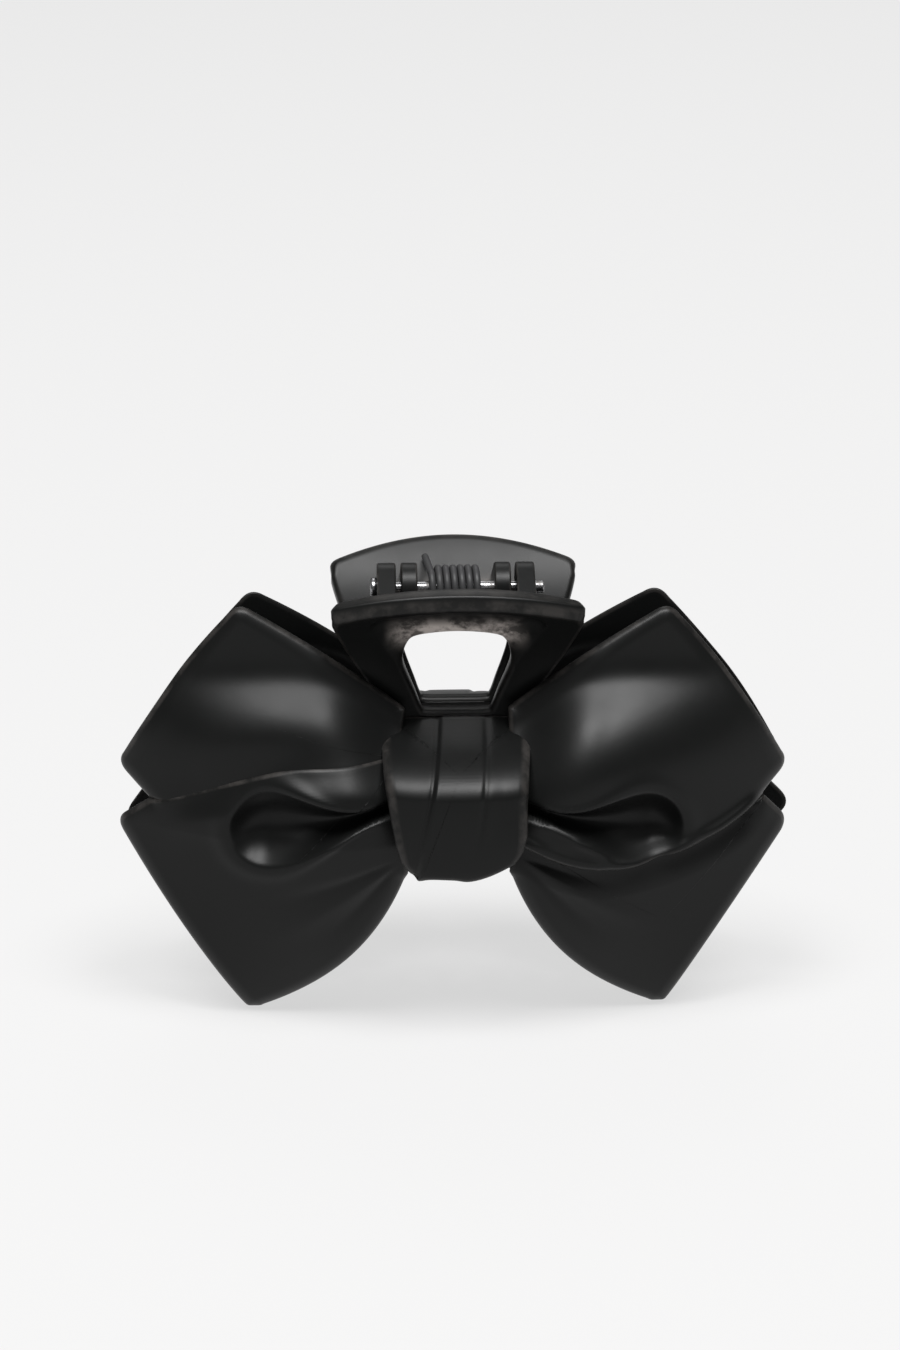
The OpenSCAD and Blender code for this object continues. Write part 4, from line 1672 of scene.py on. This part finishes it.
@dataclass
class TorsionSpring:
    """The spring wound round the pin, with one leg on each thumb tab.

    Attributes:
        pin_z: Height of the pin's axis.
        leg_reach: Depth of the legs' ends.
        wire_r: Radius of the wire.
        coil_r: Middle radius of the coil.
        turns: The number of turns.
        pitch: The distance between turns.
        leg_angle: How far the legs lean from upright where they leave the coil, in degrees.
        leg_top: Height of the legs' ends above the pin.
    """

    pin_z: float
    leg_reach: float
    wire_r: float = 0.56
    coil_r: float = 3.1
    turns: float = 6.5
    pitch: float = 1.18
    leg_angle: float = 28.0
    leg_top: float = 1.9

    def path(self) -> np.ndarray:
        """The middle of the wire, from its end on the rear tab to its end on the front one.

        Returns:
            The points as rows of x, y and z.
        """
        half = self.turns * self.pitch / 2
        count = int(self.turns * 44)
        share = np.linspace(0.0, 1.0, count + 1)
        angle = np.radians(-self.leg_angle) - math.tau * self.turns * share
        coil = np.stack([-half + 2 * half * share, self.coil_r * np.sin(angle),
                         self.pin_z + self.coil_r * np.cos(angle)], axis=1)
        legs = []
        for sign, end in ((-1, coil[0]), (1, coil[-1])):
            tip = np.array([sign * (half + 0.6 * self.pitch), -sign * self.leg_reach,
                            self.pin_z + self.leg_top])
            legs.append(end + (tip - end) * np.linspace(0.0, 1.0, 12)[1:, None])
        return np.vstack([legs[0][::-1], coil, legs[1]])

    def build(self, finishes: Finishes) -> bpy.types.Object:
        """Builds and dresses the spring.

        Args:
            finishes: The clip's materials.

        Returns:
            The finished piece.
        """
        path = self.path() * MM
        data = bpy.data.meshes.new("torsion_spring_wound")
        data.from_pydata(path.tolist(), [(k, k + 1) for k in range(len(path) - 1)], [])
        piece = bpy.data.objects.new("torsion_spring_wound", data)
        bpy.context.scene.collection.objects.link(piece)
        run_nodes(piece, wound_wire_tree(), {"Wire Radius": self.wire_r * MM, "Sides": 16,
                                             "Material": finishes.wire})
        piece.data.materials.clear()
        piece.data.materials.append(finishes.wire)
        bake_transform(piece)
        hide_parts("torsion_spring")
        log.info("%s: %d faces between both jaws", piece.name, len(piece.data.polygons))
        return piece


# ---- The studio ----


@dataclass
class Studio:
    """A pale floor, soft light and a camera a little above the clip.

    Attributes:
        distance: Distance from the camera to what it looks at.
        azimuth: The camera's turn from straight in front, in degrees.
        elevation: Its height angle, in degrees.
        aim: What it looks at, from the middle of the clip's foot.
        lens: Focal length on a 36 mm sensor.
        floor_half: Half the side of the floor in metres.
        lit: What the lights face, in metres.
        world_light: Strength of the even light from all round.
    """

    distance: float = 600.0
    azimuth: float = -2.0
    elevation: float = 19.0
    aim: tuple[float, float, float] = (-0.874, 0.031, 55.984)
    lens: float = 100.0
    floor_half: float = 4.0
    lit: tuple[float, float, float] = (0.0, 0.0, 0.03)
    world_light: float = 0.14

    def build(self) -> None:
        """Builds the floor, the lights and the camera."""
        self._floor()
        self._world()
        self._softbox("left", (-0.6, -0.9, 2.4), 1.0, 74.0)
        self._softbox("right", (0.6, -0.9, 2.4), 1.0, 74.0)
        self._softbox("back", (0.0, 1.8, 2.0), 1.2, 9.0)
        self._camera()

    def _floor(self) -> None:
        """The floor."""
        half = self.floor_half
        data = bpy.data.meshes.new("floor")
        corners = [(-half, -half, 0), (half, -half, 0), (half, half, 0), (-half, half, 0)]
        data.from_pydata(corners, [], [(0, 1, 2, 3)])
        data.materials.append(StudioPaper().build())
        floor = bpy.data.objects.new("floor", data)
        bpy.context.scene.collection.objects.link(floor)

    def _world(self) -> None:
        """The even light from all round."""
        world = bpy.data.worlds.new("studio")
        world.use_nodes = True
        back = world.node_tree.nodes["Background"]
        back.inputs["Color"].default_value = (1.0, 0.995, 0.985, 1.0)
        back.inputs["Strength"].default_value = self.world_light
        bpy.context.scene.world = world

    def _softbox(self, name: str, place: Sequence[float], size: float, power: float) -> None:
        """A square soft light that faces the clip.

        Args:
            name: The light's name.
            place: Where it hangs, in metres.
            size: The length of its side, in metres.
            power: Its power in watts.
        """
        light = bpy.data.lights.new(name, "AREA")
        light.size = size
        light.energy = power
        lamp = bpy.data.objects.new(name, light)
        lamp.location = place
        lamp.rotation_euler = (Vector(self.lit) - Vector(place)).to_track_quat("-Z", "Y").to_euler()
        bpy.context.scene.collection.objects.link(lamp)

    def _camera(self) -> None:
        """The camera."""
        data = bpy.data.cameras.new("camera")
        data.sensor_fit = "VERTICAL"
        data.sensor_height = 36.0
        data.lens = self.lens
        data.clip_start = 0.01
        camera = bpy.data.objects.new("camera", data)
        side, up = math.radians(self.azimuth), math.radians(self.elevation)
        away = Vector((math.sin(side) * math.cos(up), -math.cos(side) * math.cos(up), math.sin(up)))
        aim = Vector(self.aim) * MM
        camera.location = aim + away * self.distance * MM
        camera.rotation_euler = (-away).to_track_quat("-Z", "Y").to_euler()
        bpy.context.scene.collection.objects.link(camera)
        scene = bpy.context.scene
        scene.camera = camera
        scene.view_settings.view_transform = "Standard"


# ---- The clip ----


@dataclass
class ClawClip:
    """The whole clip: two jaws on a sprung hinge.

    Attributes:
        finishes: Its materials.
        tuck: How far loops and tails run on under the knot's sides.
        ears: For each jaw, how far its ears' inner faces are from the middle, how thick the ears
            are and the radius of their bores.
        leg_reach: Depth of the ends of the spring's legs.
    """

    finishes: Finishes = field(default_factory=Finishes)
    tuck: float = 2.0
    ears: dict[Jaw, tuple[float, float, float]] = field(default_factory=lambda: {
        Jaw.FRONT: (9.5, 3.0, 1.02), Jaw.REAR: (6.1, 2.6, 1.06)})
    leg_reach: float = 10.5

    def build(self) -> None:
        """Builds every piece, jaw by jaw, and then the hinge."""
        knot_low, knot_high = node_box("front_knot")
        pin_low, pin_high = node_box("hinge_pin")
        pin_z = (pin_low[2] + pin_high[2]) / 2
        root_x = float(knot_high[0]) - self.tuck
        shape = BowShape(root_x=root_x, reach=54.0, rim=4.0, crown=21.5)
        for jaw in Jaw:
            for side in Side:
                for kind in ("loop", "tail"):
                    Lobe(shape, jaw, side, kind).build(self.finishes)
            KnotBand(jaw, -float(knot_low[1]), float(knot_high[2]), float(knot_low[2])).build(
                self.finishes)
            inner, thick, bore = self.ears[jaw]
            ThumbTab(jaw, pin_z, bore, (inner, thick)).build(self.finishes)
            Comb(jaw, shape).build(self.finishes)
        HingePin(pin_low, pin_high).build(self.finishes)
        TorsionSpring(pin_z, self.leg_reach).build(self.finishes)


def main() -> None:
    """Builds the studio and the clip."""
    Studio().build()
    ClawClip().build()


if __name__ == "__main__":
    main()
